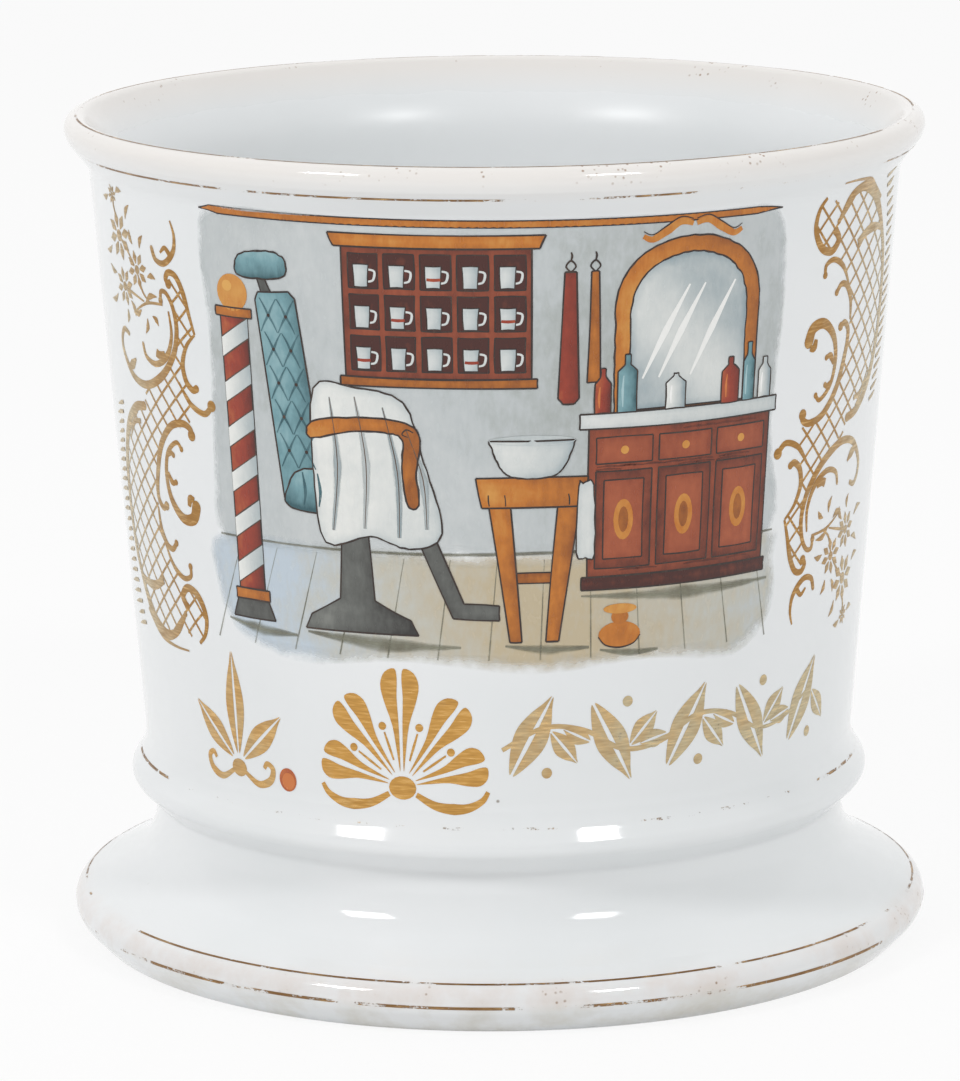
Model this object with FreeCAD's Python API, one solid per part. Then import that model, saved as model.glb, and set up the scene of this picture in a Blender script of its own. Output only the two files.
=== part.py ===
import FreeCAD, Part
import math
import os

os.makedirs("parts", exist_ok=True)
V = FreeCAD.Vector
ORIGIN = V(0, 0, 0)
UP = V(0, 0, 1)

# The mug stands on the plane z = 0, on the axis of its body. The painted front
# faces -Y and the handle is behind, on +Y. Sizes are in millimetres.
mug_height = 92.0

# Outside of the body, foot to lip: radii, heights from the table and roundings.
# Each rounding is turned as a few narrow flat bands, as many as the number says.
foot_ring_radius = 45.3
foot_edge_radius = 49.3
foot_edge_height = 4.15
foot_edge_rounding = 1.9
foot_edge_bands = 1
foot_slope_radius = 44.45
foot_slope_height = 6.6
foot_hollow_radius = 40.6
foot_hollow_height = 9.0
waist_radius = 38.55
waist_height = 15.35
bead_radius = 41.55
bead_height = 17.8
bead_rounding = 2.0
bead_bands = 2
wall_foot_radius = 39.6
wall_foot_height = 24.4
wall_top_radius = 44.6
wall_top_drop = 5.6
lip_underside_drop = 3.6
lip_overhang = 3.25
lip_roll_rounding = 1.5
lip_roll_bands = 2

# Inside of the body and the hollow under its foot
wall_thickness = 3.6
floor_height = 8.0
inner_floor_chamfer = 2.0
inner_flare_drop = 2.4
foot_ring_width = 3.8
foot_recess_depth = 2.6
foot_recess_slope = 1.2
smallest_run = 0.01

# Handle: a plain ear-shaped loop, oval in section
handle_width = 10.5
handle_thickness = 6.4
handle_root_depth = 1.5
handle_top_height = 75.0
handle_foot_height = 33.0
handle_reach = 25.0
handle_crown_rise = 3.5
handle_crown_rounding = 11.0
handle_crown_bands = 4
handle_belly_height = 44.0
handle_belly_setback = 2.5
handle_belly_rounding = 18.0
handle_belly_bands = 4
handle_sides = 8

# Fired-on decoration: enamel and gilding stand a little proud of the glaze.
# Drawings are in their own units, so that drawing_unit sets their size.
enamel_thickness = 0.1
gilding_thickness = 0.06
drawing_unit = 1.0
picture_foot_height = 38.5
garland_middle_height = 31.0
cartouche_middle_height = 61.7
cartouche_turn = 60.1


def wall_radius(height):
    """Outside radius of the straight conical wall at a height."""
    wall_top_height = mug_height - wall_top_drop
    share = (height - wall_foot_height) / (wall_top_height - wall_foot_height)
    return wall_foot_radius + share * (wall_top_radius - wall_foot_radius)


def direction(start, end):
    """Unit direction between two (radius, height) points."""
    length = math.hypot(end[0] - start[0], end[1] - start[1])
    return (end[0] - start[0]) / length, (end[1] - start[1]) / length


def rounded_outline(corners):
    """Straight runs through (x, z, rounding, bands) corners, each rounding in flat bands."""
    points = [corners[0][:2]]
    for before, corner, after in zip(corners, corners[1:], corners[2:]):
        if corner[2] == 0:
            # A rounding may end just at the next corner
            if math.dist(points[-1], corner[:2]) > smallest_run:
                points.append(corner[:2])
            continue
        back = direction(corner, before)
        ahead = direction(corner, after)
        half_opening = math.acos(back[0] * ahead[0] + back[1] * ahead[1]) / 2
        middle_way = direction((0, 0), (back[0] + ahead[0], back[1] + ahead[1]))
        away = corner[2] / math.sin(half_opening)
        centre = (corner[0] + middle_way[0] * away, corner[1] + middle_way[1] * away)
        run = corner[2] / math.tan(half_opening)
        start = (corner[0] + back[0] * run - centre[0], corner[1] + back[1] * run - centre[1])
        sweep = math.pi - 2 * half_opening
        if back[0] * ahead[1] - back[1] * ahead[0] > 0:
            sweep = -sweep
        for band in range(corner[3] + 1):
            angle = sweep * band / corner[3]
            points.append((
                centre[0] + start[0] * math.cos(angle) - start[1] * math.sin(angle),
                centre[1] + start[0] * math.sin(angle) + start[1] * math.cos(angle),
            ))
    points.append(corners[-1][:2])
    return points


def body_section():
    """Half section of the body: underside, outside, lip, inside and floor."""
    lip_radius = wall_top_radius + lip_overhang
    recess_radius = foot_ring_radius - foot_ring_width
    flare_height = mug_height - inner_flare_drop
    chamfer_height = floor_height + inner_floor_chamfer
    corners = [
        (0, foot_recess_depth, 0),
        (recess_radius - foot_recess_slope, foot_recess_depth, 0),
        (recess_radius, 0, 0),
        (foot_ring_radius, 0, 0),
        (foot_edge_radius, foot_edge_height, foot_edge_rounding, foot_edge_bands),
        (foot_slope_radius, foot_slope_height, 0),
        (foot_hollow_radius, foot_hollow_height, 0),
        (waist_radius, waist_height, 0),
        (bead_radius, bead_height, bead_rounding, bead_bands),
        (wall_foot_radius, wall_foot_height, 0),
        (wall_top_radius, mug_height - wall_top_drop, 0),
        (lip_radius, mug_height - lip_underside_drop, 0),
        (lip_radius, mug_height, lip_roll_rounding, lip_roll_bands),
        (lip_radius - lip_roll_rounding, mug_height, 0),
        (wall_radius(flare_height) - wall_thickness, flare_height, 0),
        (wall_radius(chamfer_height) - wall_thickness, chamfer_height, 0),
        (wall_radius(floor_height) - wall_thickness - inner_floor_chamfer, floor_height, 0),
        (0, floor_height, 0),
    ]
    outline = [V(x, 0, z) for x, z in rounded_outline(corners)]
    return Part.Face(Part.makePolygon(outline + outline[:1]))


def handle():
    """The loop behind the mug: an oval carried along the runs of its centre line."""
    far = wall_radius(handle_top_height) + handle_reach - handle_thickness / 2
    line = rounded_outline([
        (wall_radius(handle_top_height) - handle_root_depth, handle_top_height, 0),
        (far, handle_top_height + handle_crown_rise, handle_crown_rounding, handle_crown_bands),
        (far - handle_belly_setback, handle_belly_height, handle_belly_rounding, handle_belly_bands),
        (wall_radius(handle_foot_height) - handle_root_depth, handle_foot_height, 0),
    ])
    rings = []
    for index, (out, up) in enumerate(line):
        before = direction(line[max(index - 1, 0)], line[max(index, 1)])
        after = direction(line[min(index, len(line) - 2)], line[min(index + 1, len(line) - 1)])
        square = (before[1] + after[1], -before[0] - after[0])
        share = handle_thickness / (1 + before[0] * after[0] + before[1] * after[1]) / 2
        ring = []
        for side in range(handle_sides):
            angle = 2 * math.pi * side / handle_sides
            through = share * math.sin(angle)
            x = handle_width / 2 * math.cos(angle)
            ring.append(V(x, out + square[0] * through, up + square[1] * through))
        rings.append(ring)
    faces = [Part.Face(Part.makePolygon(ring + ring[:1])) for ring in (rings[0], rings[-1])]
    for ring, following in zip(rings, rings[1:]):
        for side in range(handle_sides):
            beside = (side + 1) % handle_sides
            corners = [ring[side], ring[beside], following[beside], following[side]]
            faces.append(Part.Face(Part.makePolygon(corners + corners[:1])))
    return Part.Solid(Part.makeShell(faces))


def wall_skin(thickness):
    """A thin layer of revolution lying on the straight wall, its seam at the back."""
    wall_top_height = mug_height - wall_top_drop
    corners = [
        V(wall_foot_radius, 0, wall_foot_height),
        V(wall_top_radius, 0, wall_top_height),
        V(wall_top_radius + thickness, 0, wall_top_height),
        V(wall_foot_radius + thickness, 0, wall_foot_height),
    ]
    layer = Part.Face(Part.makePolygon(corners + corners[:1])).revolve(ORIGIN, UP, 360)
    layer.rotate(ORIGIN, UP, 90)
    return layer


def drawn(x, y, middle_height):
    """A point of a drawing, wrapped round the wall and seen from the front."""
    height = middle_height + y * drawing_unit
    angle = x * drawing_unit / ((wall_foot_radius + wall_top_radius) / 2)
    return V(wall_radius(height) * math.sin(angle), 0, height)


def shape(points, middle_height):
    """A closed face through the points of a drawing."""
    corners = [drawn(x, y, middle_height) for x, y in points]
    return Part.Face(Part.makePolygon(corners + corners[:1]))


def crescent(start, via, end, width, middle_height):
    """A curved brush stroke with pointed ends, widest in its middle."""
    middle = ((start[0] + end[0]) / 2, (start[1] + end[1]) / 2)
    bow = direction(middle, via)
    side = []
    for share, across in ((0.3, 0.5), (0.7, 0.5), (0.5, -0.5)):
        curve = 4 * share * (1 - share)
        x = start[0] + share * (end[0] - start[0]) + curve * (via[0] - middle[0])
        y = start[1] + share * (end[1] - start[1]) + curve * (via[1] - middle[1])
        side.append((x + bow[0] * across * width, y + bow[1] * across * width))
    return shape([start, side[0], side[1], end, side[2]], middle_height)


def leaf(base_x, base_y, length, width, lean, middle_height):
    """A pointed leaf from its base, leaning from upright by so many degrees."""
    side = math.radians(lean)
    points = []
    for along, across in ((0, 0), (0.45, -0.5), (1, 0), (0.45, 0.5)):
        x = base_x + along * length * math.sin(side) + across * width * math.cos(side)
        y = base_y + along * length * math.cos(side) - across * width * math.sin(side)
        points.append((x, y))
    return shape(points, middle_height)


def fired_on(faces, layer, turn):
    """The thin layer that the faces cut out of the wall's skin, turned to its place."""
    reach = V(0, -2 * wall_top_radius, 0)
    pieces = [layer.common(face.extrude(reach)) for face in faces]
    solids = [solid for piece in pieces for solid in piece.Solids]
    for solid in solids:
        solid.rotate(ORIGIN, UP, turn)
    return solids


def save(name, solid):
    """Write one node and say what it holds."""
    solid.exportStep("parts/" + name + ".step")
    print(name, solid.isValid(), len(solid.Solids), "solids", round(solid.Volume, 2), "mm3")


def painted_fields(shapes):
    """Give each colour its faces, each shape cut round by what lies before it."""
    fields = {}
    before = None
    for colour, face in shapes:
        free = face if before is None else face.cut(before)
        fields.setdefault(colour, []).extend(free.Faces)
        before = face if before is None else before.fuse(face)
    return fields


def picture_shapes():
    """The barber's shop on the front, nearest shape first, in drawing units."""
    outlines = [
        ("white_linen", [(-18.4, 28.6), (-9.4, 27.8), (-6.9, 15.2), (-18.6, 14.4)]),
        ("teal_leather", [(-23.4, 16.0), (-7.2, 16.0), (-7.2, 20.6), (-18.6, 20.8), (-21.0, 39.0),
                          (-26.0, 38.6)]),
        ("iron_grey", [(-21.4, 3.4), (-8.8, 3.4), (-13.4, 7.0), (-13.4, 16.0), (-17.4, 16.0),
                       (-17.4, 7.0)]),
        ("iron_grey", [(-7.2, 16.0), (-8.4, 14.2), (-4.4, 5.0), (0.0, 5.0), (0.0, 6.6), (-3.2, 6.6)]),
        ("white_linen", [(-0.6, 24.2), (1.2, 20.4), (6.2, 20.4), (7.8, 24.2)]),
        ("ochre_wood", [(1.4, 17.6), (2.4, 2.6), (1.0, 2.6), (-1.6, 18.2), (-2.4, 20.4), (9.8, 20.4),
                        (8.8, 17.6), (6.8, 2.6), (5.4, 2.6), (6.0, 17.6)]),
        ("mahogany", [(9.8, 8.6), (31.0, 8.6), (31.6, 26.6), (8.8, 26.6)]),
        ("ochre_wood", [(12.2, 26.6), (28.8, 26.6), (28.8, 40.4), (24.6, 45.2), (16.4, 45.2), (12.2, 40.4)]),
        ("mahogany", [(-15.6, 31.0), (3.6, 31.0), (3.6, 45.4), (-15.6, 45.4)]),
        ("red_brown", [(6.2, 28.4), (8.6, 28.4), (8.2, 42.4), (6.8, 42.4)]),
        ("red_brown", [(-30.6, 5.6), (-27.0, 5.6), (-27.0, 36.6), (-28.8, 40.2), (-30.6, 36.6)]),
    ]
    return [(colour, shape(outline, picture_foot_height)) for colour, outline in outlines]


def cartouche_faces():
    """The scrolls, flowers and trellis field beside the picture, left-hand side."""
    middle = cartouche_middle_height
    strokes = [
        ((4.5, 14.3), (6.7, 9.8), (-0.4, 3.3), 1.0),
        ((-0.6, 3.2), (-5.9, 5.0), (-3.8, 8.5), 1.1),
        ((8.0, -0.9), (1.2, -2.6), (0.9, -9.9), 1.0),
        ((5.6, -2.3), (2.4, -6.3), (7.3, -9.1), 1.1),
    ]
    faces = [crescent(start, via, end, width, middle) for start, via, end, width in strokes]
    trellis = [(-1.4, 0.8), (0.2, -12.6), (2.6, -19.4), (1.2, -23.6), (-7.2, -20.4), (-9.2, -12.0),
               (-7.0, -4.0)]
    faces.append(shape(trellis, middle))
    petal_reach = 2.0
    for flower_x, flower_y in ((-4.3, 19.3), (-1.6, 14.6)):
        petals = []
        for lean in range(0, 360, 90):
            side = math.radians(lean)
            petals.append((flower_x + petal_reach * math.sin(side), flower_y + petal_reach * math.cos(side)))
        faces.append(shape(petals, middle))
    return faces


def spray(base_x, base_y, leaves, width):
    """Leaves fanned out round one base; each is (lean, length)."""
    faces = []
    for lean, length in leaves:
        side = math.radians(lean)
        start_x = base_x + 0.4 * width * math.sin(side)
        start_y = base_y + 0.4 * width * math.cos(side)
        faces.append(leaf(start_x, start_y, length, width, lean, garland_middle_height))
    return faces


def garland_faces():
    """Gilt leaf sprays below the picture, with a palmette left of the middle."""
    faces = spray(-11, -6.0, ((-74, 8.6), (-37, 10.4), (0, 11.8), (37, 10.4), (74, 8.6)), 3.6)
    faces += spray(-33, -6.0, ((-48, 8.0), (0, 11.4), (48, 8.0)), 3.0)
    first_leaf_x, leaf_pitch, leaf_length = 1.4, 9.2, 9.4
    for index in range(5):
        rising = index % 2 == 0
        lean = 28 if rising else 152
        base_y = -4.6 if rising else 3.0
        faces += spray(first_leaf_x + index * leaf_pitch, base_y, ((lean, leaf_length),), 3.2)
    return faces


mug_body = body_section().revolve(ORIGIN, UP, 360).fuse(handle())
save("mug_body", mug_body.Solids[0])

enamel_layer = wall_skin(enamel_thickness)
for colour, faces in painted_fields(picture_shapes()).items():
    save("enamel_" + colour, Part.makeCompound(fired_on(faces, enamel_layer, 0)))

# All the gilding is brushed on and fired together: sprays and both cartouches
gilt_layer = wall_skin(gilding_thickness)
left_faces = cartouche_faces()
right_faces = []
for face in left_faces:
    half_turned = face.copy()
    half_turned.rotate(V(0, 0, cartouche_middle_height), V(0, 1, 0), 180)
    right_faces.append(half_turned)
gilding = Part.makeCompound(
    fired_on(garland_faces(), gilt_layer, 0)
    + fired_on(left_faces, gilt_layer, -cartouche_turn)
    + fired_on(right_faces, gilt_layer, cartouche_turn)
)
save("gilding", gilding)
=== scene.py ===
import bpy
import bmesh
import math
import random
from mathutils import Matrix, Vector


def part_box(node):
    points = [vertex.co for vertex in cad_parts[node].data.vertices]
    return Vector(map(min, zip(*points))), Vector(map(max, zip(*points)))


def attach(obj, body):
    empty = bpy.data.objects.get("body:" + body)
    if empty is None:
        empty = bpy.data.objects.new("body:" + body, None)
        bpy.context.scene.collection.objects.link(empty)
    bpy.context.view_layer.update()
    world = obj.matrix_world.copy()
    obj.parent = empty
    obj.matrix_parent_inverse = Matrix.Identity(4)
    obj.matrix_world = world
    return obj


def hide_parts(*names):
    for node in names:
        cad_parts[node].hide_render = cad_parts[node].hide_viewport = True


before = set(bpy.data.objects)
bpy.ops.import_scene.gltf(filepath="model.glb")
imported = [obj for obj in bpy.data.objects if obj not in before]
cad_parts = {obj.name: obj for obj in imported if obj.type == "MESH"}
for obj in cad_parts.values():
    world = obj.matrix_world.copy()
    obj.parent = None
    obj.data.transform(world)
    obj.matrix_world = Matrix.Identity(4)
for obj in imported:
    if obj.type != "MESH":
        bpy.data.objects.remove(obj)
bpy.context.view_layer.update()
mm = 0.001

# The body is one piece of hard porcelain: a footed cup with a rolled lip, turned
# on the wheel, with a loop handle stuck on opposite the picture. It is dipped in
# clear glaze and fired to a cool glossy white, a little stained round its foot,
# where the brownish tint is partly painted shade under the foot.
lip_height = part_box("mug_body")[1][2] / mm
outline_corners = [
    # radius, height and rounding of each corner, underside to lip to inner floor
    (0.0, 3.2, 0.0),
    (39.1, 3.2, 1.2),
    (41.9, 0.35, 0.5),
    (42.6, 0.0, 0.4),
    (45.3, 0.0, 0.9),
    (49.3, 4.15, 2.3),
    (44.45, 6.6, 3.0),
    (38.3, 10.4, 6.5),
    (38.55, 15.35, 1.4),
    (41.6, 18.2, 1.6),
    (39.4, 21.7, 5.0),
    (44.6, lip_height - 5.6, 2.5),
    (46.95, lip_height - 2.65, 0.9),
    (47.85, lip_height, 1.5),
    (45.2, lip_height, 1.3),
    (40.45, lip_height - 6.5, 9.0),
    (35.0, 8.0, 7.0),
    (0.0, 8.0, 0.0),
]
arc_step = math.radians(11)
longest_run = 3.2
turns = 192
weld_distance = 0.001 * mm


def arc_through(before, corner, after, rounding):
    """Points of the rounding at one corner of a turned outline."""
    back_length = math.dist(corner, before)
    ahead_length = math.dist(corner, after)
    back = ((before[0] - corner[0]) / back_length, (before[1] - corner[1]) / back_length)
    ahead = ((after[0] - corner[0]) / ahead_length, (after[1] - corner[1]) / ahead_length)
    opening = math.acos(max(-1, min(1, back[0] * ahead[0] + back[1] * ahead[1])))
    middle = (back[0] + ahead[0], back[1] + ahead[1])
    middle_length = math.hypot(middle[0], middle[1])
    reach = rounding / math.sin(opening / 2)
    centre = (corner[0] + middle[0] / middle_length * reach, corner[1] + middle[1] / middle_length * reach)
    run = rounding / math.tan(opening / 2)
    first = (corner[0] + back[0] * run, corner[1] + back[1] * run)
    last = (corner[0] + ahead[0] * run, corner[1] + ahead[1] * run)
    start_angle = math.atan2(first[1] - centre[1], first[0] - centre[0])
    sweep = math.atan2(last[1] - centre[1], last[0] - centre[0]) - start_angle
    sweep = (sweep + math.pi) % (2 * math.pi) - math.pi
    steps = max(2, math.ceil(abs(sweep) / arc_step))
    return [
        (centre[0] + rounding * math.cos(start_angle + sweep * step / steps),
         centre[1] + rounding * math.sin(start_angle + sweep * step / steps))
        for step in range(steps + 1)
    ]


def turned_outline(corners):
    """An outline with its corners rounded and its long runs divided."""
    rounded = [corners[0][:2]]
    for before, corner, after in zip(corners, corners[1:], corners[2:]):
        rounded += arc_through(before[:2], corner[:2], after[:2], corner[2])
    rounded.append(corners[-1][:2])
    points = [rounded[0]]
    for end in rounded[1:]:
        start = points[-1]
        parts = max(1, math.ceil(math.dist(start, end) / longest_run))
        points += [
            (start[0] + (end[0] - start[0]) * part / parts, start[1] + (end[1] - start[1]) * part / parts)
            for part in range(1, parts + 1)
        ]
    return points


def pick(piece):
    """Select one piece and nothing else, and make it active."""
    bpy.ops.object.select_all(action="DESELECT")
    piece.select_set(True)
    bpy.context.view_layer.objects.active = piece


def spun(name, points):
    """A mesh turned about the upright axis from (radius, height) points."""
    bpy.ops.object.select_all(action="DESELECT")
    bpy.ops.mesh.primitive_plane_add(size=mm, location=(0, 0, 0))
    piece = bpy.context.object
    piece.name = name
    bpy.ops.object.mode_set(mode="EDIT")
    bpy.ops.mesh.merge(type="CENTER")
    bpy.ops.transform.translate(value=(points[0][0] * mm, 0, points[0][1] * mm))
    for start, end in zip(points, points[1:]):
        step = ((end[0] - start[0]) * mm, 0, (end[1] - start[1]) * mm)
        bpy.ops.mesh.extrude_vertices_move(TRANSFORM_OT_translate={"value": step})
    bpy.ops.mesh.select_all(action="SELECT")
    bpy.ops.mesh.spin(steps=turns, angle=2 * math.pi, center=(0, 0, 0), axis=(0, 0, 1))
    bpy.ops.mesh.select_all(action="SELECT")
    bpy.ops.mesh.remove_doubles(threshold=weld_distance)
    bpy.ops.mesh.normals_make_consistent(inside=False)
    bpy.ops.object.mode_set(mode="OBJECT")
    return piece


body_outline = turned_outline(outline_corners)
mug = spun("porcelain_mug", body_outline)

# The handle's centre line, from its upper root to its lower root: distance from
# the axis, height, and how far the oval swells where it joins the wall.
handle_line = [
    (41.0, 75.3, 1.55), (45.2, 75.6, 1.22), (49.0, 76.6, 1.0), (55.0, 78.4, 0.98), (61.5, 77.0, 1.0),
    (65.4, 71.0, 1.0), (65.6, 62.0, 0.98), (64.8, 52.0, 0.97), (62.0, 44.5, 0.97), (55.5, 39.0, 0.97),
    (48.4, 35.2, 1.0), (43.6, 33.6, 1.22), (39.0, 32.6, 1.6),
]
handle_width = 10.5
handle_thickness = 6.4
handle_weld = 0.01 * mm
smooth_below = math.radians(40)
bpy.ops.object.select_all(action="DESELECT")
bpy.ops.curve.primitive_bezier_circle_add(radius=0.5 * mm, location=(0, 0, 0))
oval = bpy.context.object
for point in oval.data.splines[0].bezier_points:
    for place in (point.co, point.handle_left, point.handle_right):
        place.x *= handle_width
        place.y *= handle_thickness
bpy.ops.curve.primitive_nurbs_path_add(location=(0, 0, 0))
loop = bpy.context.object
loop.data.splines.clear()
line = loop.data.splines.new("NURBS")
line.points.add(len(handle_line) - 1)
for point, (out, up, swell) in zip(line.points, handle_line):
    point.co = (0, out * mm, up * mm, 1)
    point.radius = swell
line.order_u = 4
line.use_endpoint_u = True
line.resolution_u = 6
loop.data.twist_mode = "MINIMUM"
loop.data.bevel_mode = "OBJECT"
loop.data.bevel_object = oval
loop.data.use_fill_caps = True
pick(loop)
bpy.ops.object.convert(target="MESH")
bpy.ops.object.mode_set(mode="EDIT")
bpy.ops.mesh.select_all(action="SELECT")
bpy.ops.mesh.remove_doubles(threshold=handle_weld)
bpy.ops.mesh.normals_make_consistent(inside=False)
bpy.ops.object.mode_set(mode="OBJECT")
pick(mug)
joint = mug.modifiers.new("handle_joint", "BOOLEAN")
joint.operation = "UNION"
joint.solver = "EXACT"
joint.object = loop
bpy.ops.object.modifier_apply(modifier=joint.name)
bpy.data.objects.remove(loop)
bpy.data.objects.remove(oval)
bpy.ops.object.shade_smooth_by_angle(angle=smooth_below)


def principled(name):
    """A new material, its node tree and its Principled shader."""
    material = bpy.data.materials.new(name)
    material.use_nodes = True
    return material, material.node_tree, material.node_tree.nodes["Principled BSDF"]


def paint(red, green, blue):
    """A colour as a shader takes it, from 0 to 255 as the eye reads it."""
    return tuple(((part / 255 + 0.055) / 1.055) ** 2.4 for part in (red, green, blue)) + (1.0,)


def fed(tree, socket, value):
    """Give a socket its value, which may be another node's output."""
    if isinstance(value, bpy.types.NodeSocket):
        tree.links.new(value, socket)
    else:
        socket.default_value = value


def noise(tree, scale, detail, stretch=(1, 1, 1)):
    """Noise over the object, of so many grains to the metre, squeezed if asked."""
    place = tree.nodes.new("ShaderNodeTexCoord")
    squeeze = tree.nodes.new("ShaderNodeMapping")
    squeeze.inputs["Scale"].default_value = stretch
    texture = tree.nodes.new("ShaderNodeTexNoise")
    texture.inputs["Scale"].default_value = scale
    texture.inputs["Detail"].default_value = detail
    texture.inputs["Roughness"].default_value = 0.6
    tree.links.new(place.outputs["Object"], squeeze.inputs["Vector"])
    tree.links.new(squeeze.outputs[0], texture.inputs["Vector"])
    return texture.outputs["Fac"]


def maths(tree, operation, first, second, clamp=False):
    """One step of arithmetic on outputs or numbers, kept between 0 and 1 if asked."""
    node = tree.nodes.new("ShaderNodeMath")
    node.operation = operation
    node.use_clamp = clamp
    fed(tree, node.inputs[0], first)
    fed(tree, node.inputs[1], second)
    return node.outputs[0]


def plus(tree, first, second, clamp=False):
    """One value and another added."""
    return maths(tree, "ADD", first, second, clamp)


def minus(tree, first, second):
    """One value less another."""
    return maths(tree, "SUBTRACT", first, second)


def times(tree, first, second, clamp=False):
    """One value times another."""
    return maths(tree, "MULTIPLY", first, second, clamp)


def larger(tree, first, second, clamp=False):
    """The larger of two values."""
    return maths(tree, "MAXIMUM", first, second, clamp)


def spread(tree, value, low, high, to_low=0.0, to_high=1.0):
    """Stretch the part of a value between low and high to a new range."""
    node = tree.nodes.new("ShaderNodeMapRange")
    for label, number in (("From Min", low), ("From Max", high), ("To Min", to_low), ("To Max", to_high)):
        node.inputs[label].default_value = number
    tree.links.new(value, node.inputs["Value"])
    return node.outputs["Result"]


def noise_between(tree, value, to_low, to_high):
    """Stretch the middle of a noise, where most of it lies, to a new range."""
    return spread(tree, value, 0.3, 0.7, to_low, to_high)


def mixed(tree, share, first, second):
    """A colour between two colours."""
    node = tree.nodes.new("ShaderNodeMix")
    node.data_type = "RGBA"
    fed(tree, node.inputs["Factor"], share)
    fed(tree, node.inputs["A"], first)
    fed(tree, node.inputs["B"], second)
    return node.outputs["Result"]


def bumped(tree, shader, height, distance):
    """Raise a surface by its height map, distance being the height of 1."""
    bump = tree.nodes.new("ShaderNodeBump")
    bump.inputs["Strength"].default_value = 1.0
    bump.inputs["Distance"].default_value = distance
    tree.links.new(height, bump.inputs["Height"])
    tree.links.new(bump.outputs[0], shader.inputs["Normal"])


def cells(tree, scale):
    """Scattered cells over the object, so many to the metre."""
    place = tree.nodes.new("ShaderNodeTexCoord")
    texture = tree.nodes.new("ShaderNodeTexVoronoi")
    texture.inputs["Scale"].default_value = scale
    tree.links.new(place.outputs["Object"], texture.inputs["Vector"])
    return texture.outputs


glaze_white = paint(240, 242, 243)
glaze_grey = paint(235, 238, 239)
foot_stain_and_shade = paint(188, 176, 146)
stain_and_shade_top = 6.5 * mm
warm_rim = paint(241, 236, 231)
rubbed_tint = paint(234, 222, 217)
dot_brown = paint(150, 116, 84)
dots_to_the_metre = 1300
speck_brown = paint(120, 104, 84)
specks_to_the_metre = 210
wall_lean = 0.0806
inside_start, outside_start = 35.0 * mm, 36.8 * mm
inside_dullness = 0.24
glaze_ripple = 0.12 * mm
# heights between which the warm rim, the rubbed lip and the rubbed foot's edge
# come in, and those between which the foot's edge ends
rim_warms = ((lip_height - 4) * mm, (lip_height - 1) * mm)
lip_wears = ((lip_height - 2.2) * mm, (lip_height - 1.4) * mm)
edge_wears = (2.6 * mm, 3.8 * mm)
edge_ends = (5.0 * mm, 6.0 * mm)
porcelain, tree, shader = principled("glazed_porcelain")
place = tree.nodes.new("ShaderNodeTexCoord")
split = tree.nodes.new("ShaderNodeSeparateXYZ")
tree.links.new(place.outputs["Object"], split.inputs[0])
along_x, along_y, up = (split.outputs[axis] for axis in "XYZ")
broad = noise(tree, 26, 2)
patchy = noise(tree, 150, 4)
# stain and painted shade: brownish patches near the foot, darker towards the bottom, stand partly for real
# staining and partly for the shade under the foot
near_foot = spread(tree, up, 0.0, stain_and_shade_top, 1.0, 0.0)
stain_and_shade_share = times(tree, near_foot, spread(tree, patchy, 0.44, 0.70, 0.0, 0.5), True)
near_rim = spread(tree, up, *rim_warms, 0.0, 0.8)
foot_edge = times(tree, spread(tree, up, *edge_wears), spread(tree, up, *edge_ends, 1.0, 0.0))
tinted = times(tree, foot_edge, spread(tree, patchy, 0.35, 0.65, 0.1, 0.6))
# rubbed spots show as brown dots on the lip and the foot's edge
rubbed_band = plus(tree, spread(tree, up, *lip_wears), foot_edge, True)
dots = cells(tree, dots_to_the_metre)
dotted = times(tree, spread(tree, dots["Distance"], 0.10, 0.26, 0.8, 0.0),
               times(tree, rubbed_band, spread(tree, patchy, 0.56, 0.62)))
specks = cells(tree, specks_to_the_metre)
chosen = tree.nodes.new("ShaderNodeSeparateColor")
tree.links.new(specks["Color"], chosen.inputs[0])
specked = times(tree, spread(tree, specks["Distance"], 0.02, 0.05, 0.75, 0.0),
                spread(tree, chosen.outputs[0], 0.86, 0.88), True)
colour = mixed(tree, spread(tree, broad, 0.35, 0.65), glaze_white, glaze_grey)
for share, tint in ((near_rim, warm_rim), (tinted, rubbed_tint), (stain_and_shade_share, foot_stain_and_shade), (dotted, dot_brown),
                    (specked, speck_brown)):
    colour = mixed(tree, share, colour, tint)
tree.links.new(colour, shader.inputs["Base Color"])
# the inside is duller; it lies nearer the axis than the lean of the wall
squares = [times(tree, along, along) for along in (along_x, along_y)]
from_axis = maths(tree, "POWER", plus(tree, *squares), 0.5)
upright = minus(tree, from_axis, times(tree, up, wall_lean))
dulled = spread(tree, upright, inside_start, outside_start, inside_dullness, 0.0)
tree.links.new(plus(tree, noise_between(tree, patchy, 0.055, 0.10), dulled), shader.inputs["Roughness"])
bumped(tree, shader, broad, glaze_ripple)
shader.inputs["IOR"].default_value = 1.5
mug.data.materials.clear()
mug.data.materials.append(porcelain)
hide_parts("mug_body")
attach(mug, "root")

# Pale washes lie under the picture on the front: thin enamel brushed over the
# glaze, cool grey for the wall of the room, and blue turning to buff for its
# floor. Their edges fade out into the white of the mug.
drawing_radius = 42.4
bead_top = 18.2
picture_foot = 38.5
first_level = 0.015
level_step = 0.008
field_cell = 0.8
pool_width = 0.9
rng = random.Random(7)
outside_line = []
for radius, height in body_outline:
    if height >= bead_top and (not outside_line or height > outside_line[-1][1]):
        outside_line.append((radius, height))


def on_wall(x, height, proud):
    """A point of a drawing laid round the wall, x along it from the front."""
    for low, high in zip(outside_line, outside_line[1:]):
        if height <= high[1]:
            break
    radius = low[0] + (high[0] - low[0]) * (height - low[1]) / (high[1] - low[1]) + proud
    angle = x / drawing_radius
    return (radius * math.sin(angle) * mm, -radius * math.cos(angle) * mm, height * mm)


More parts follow.
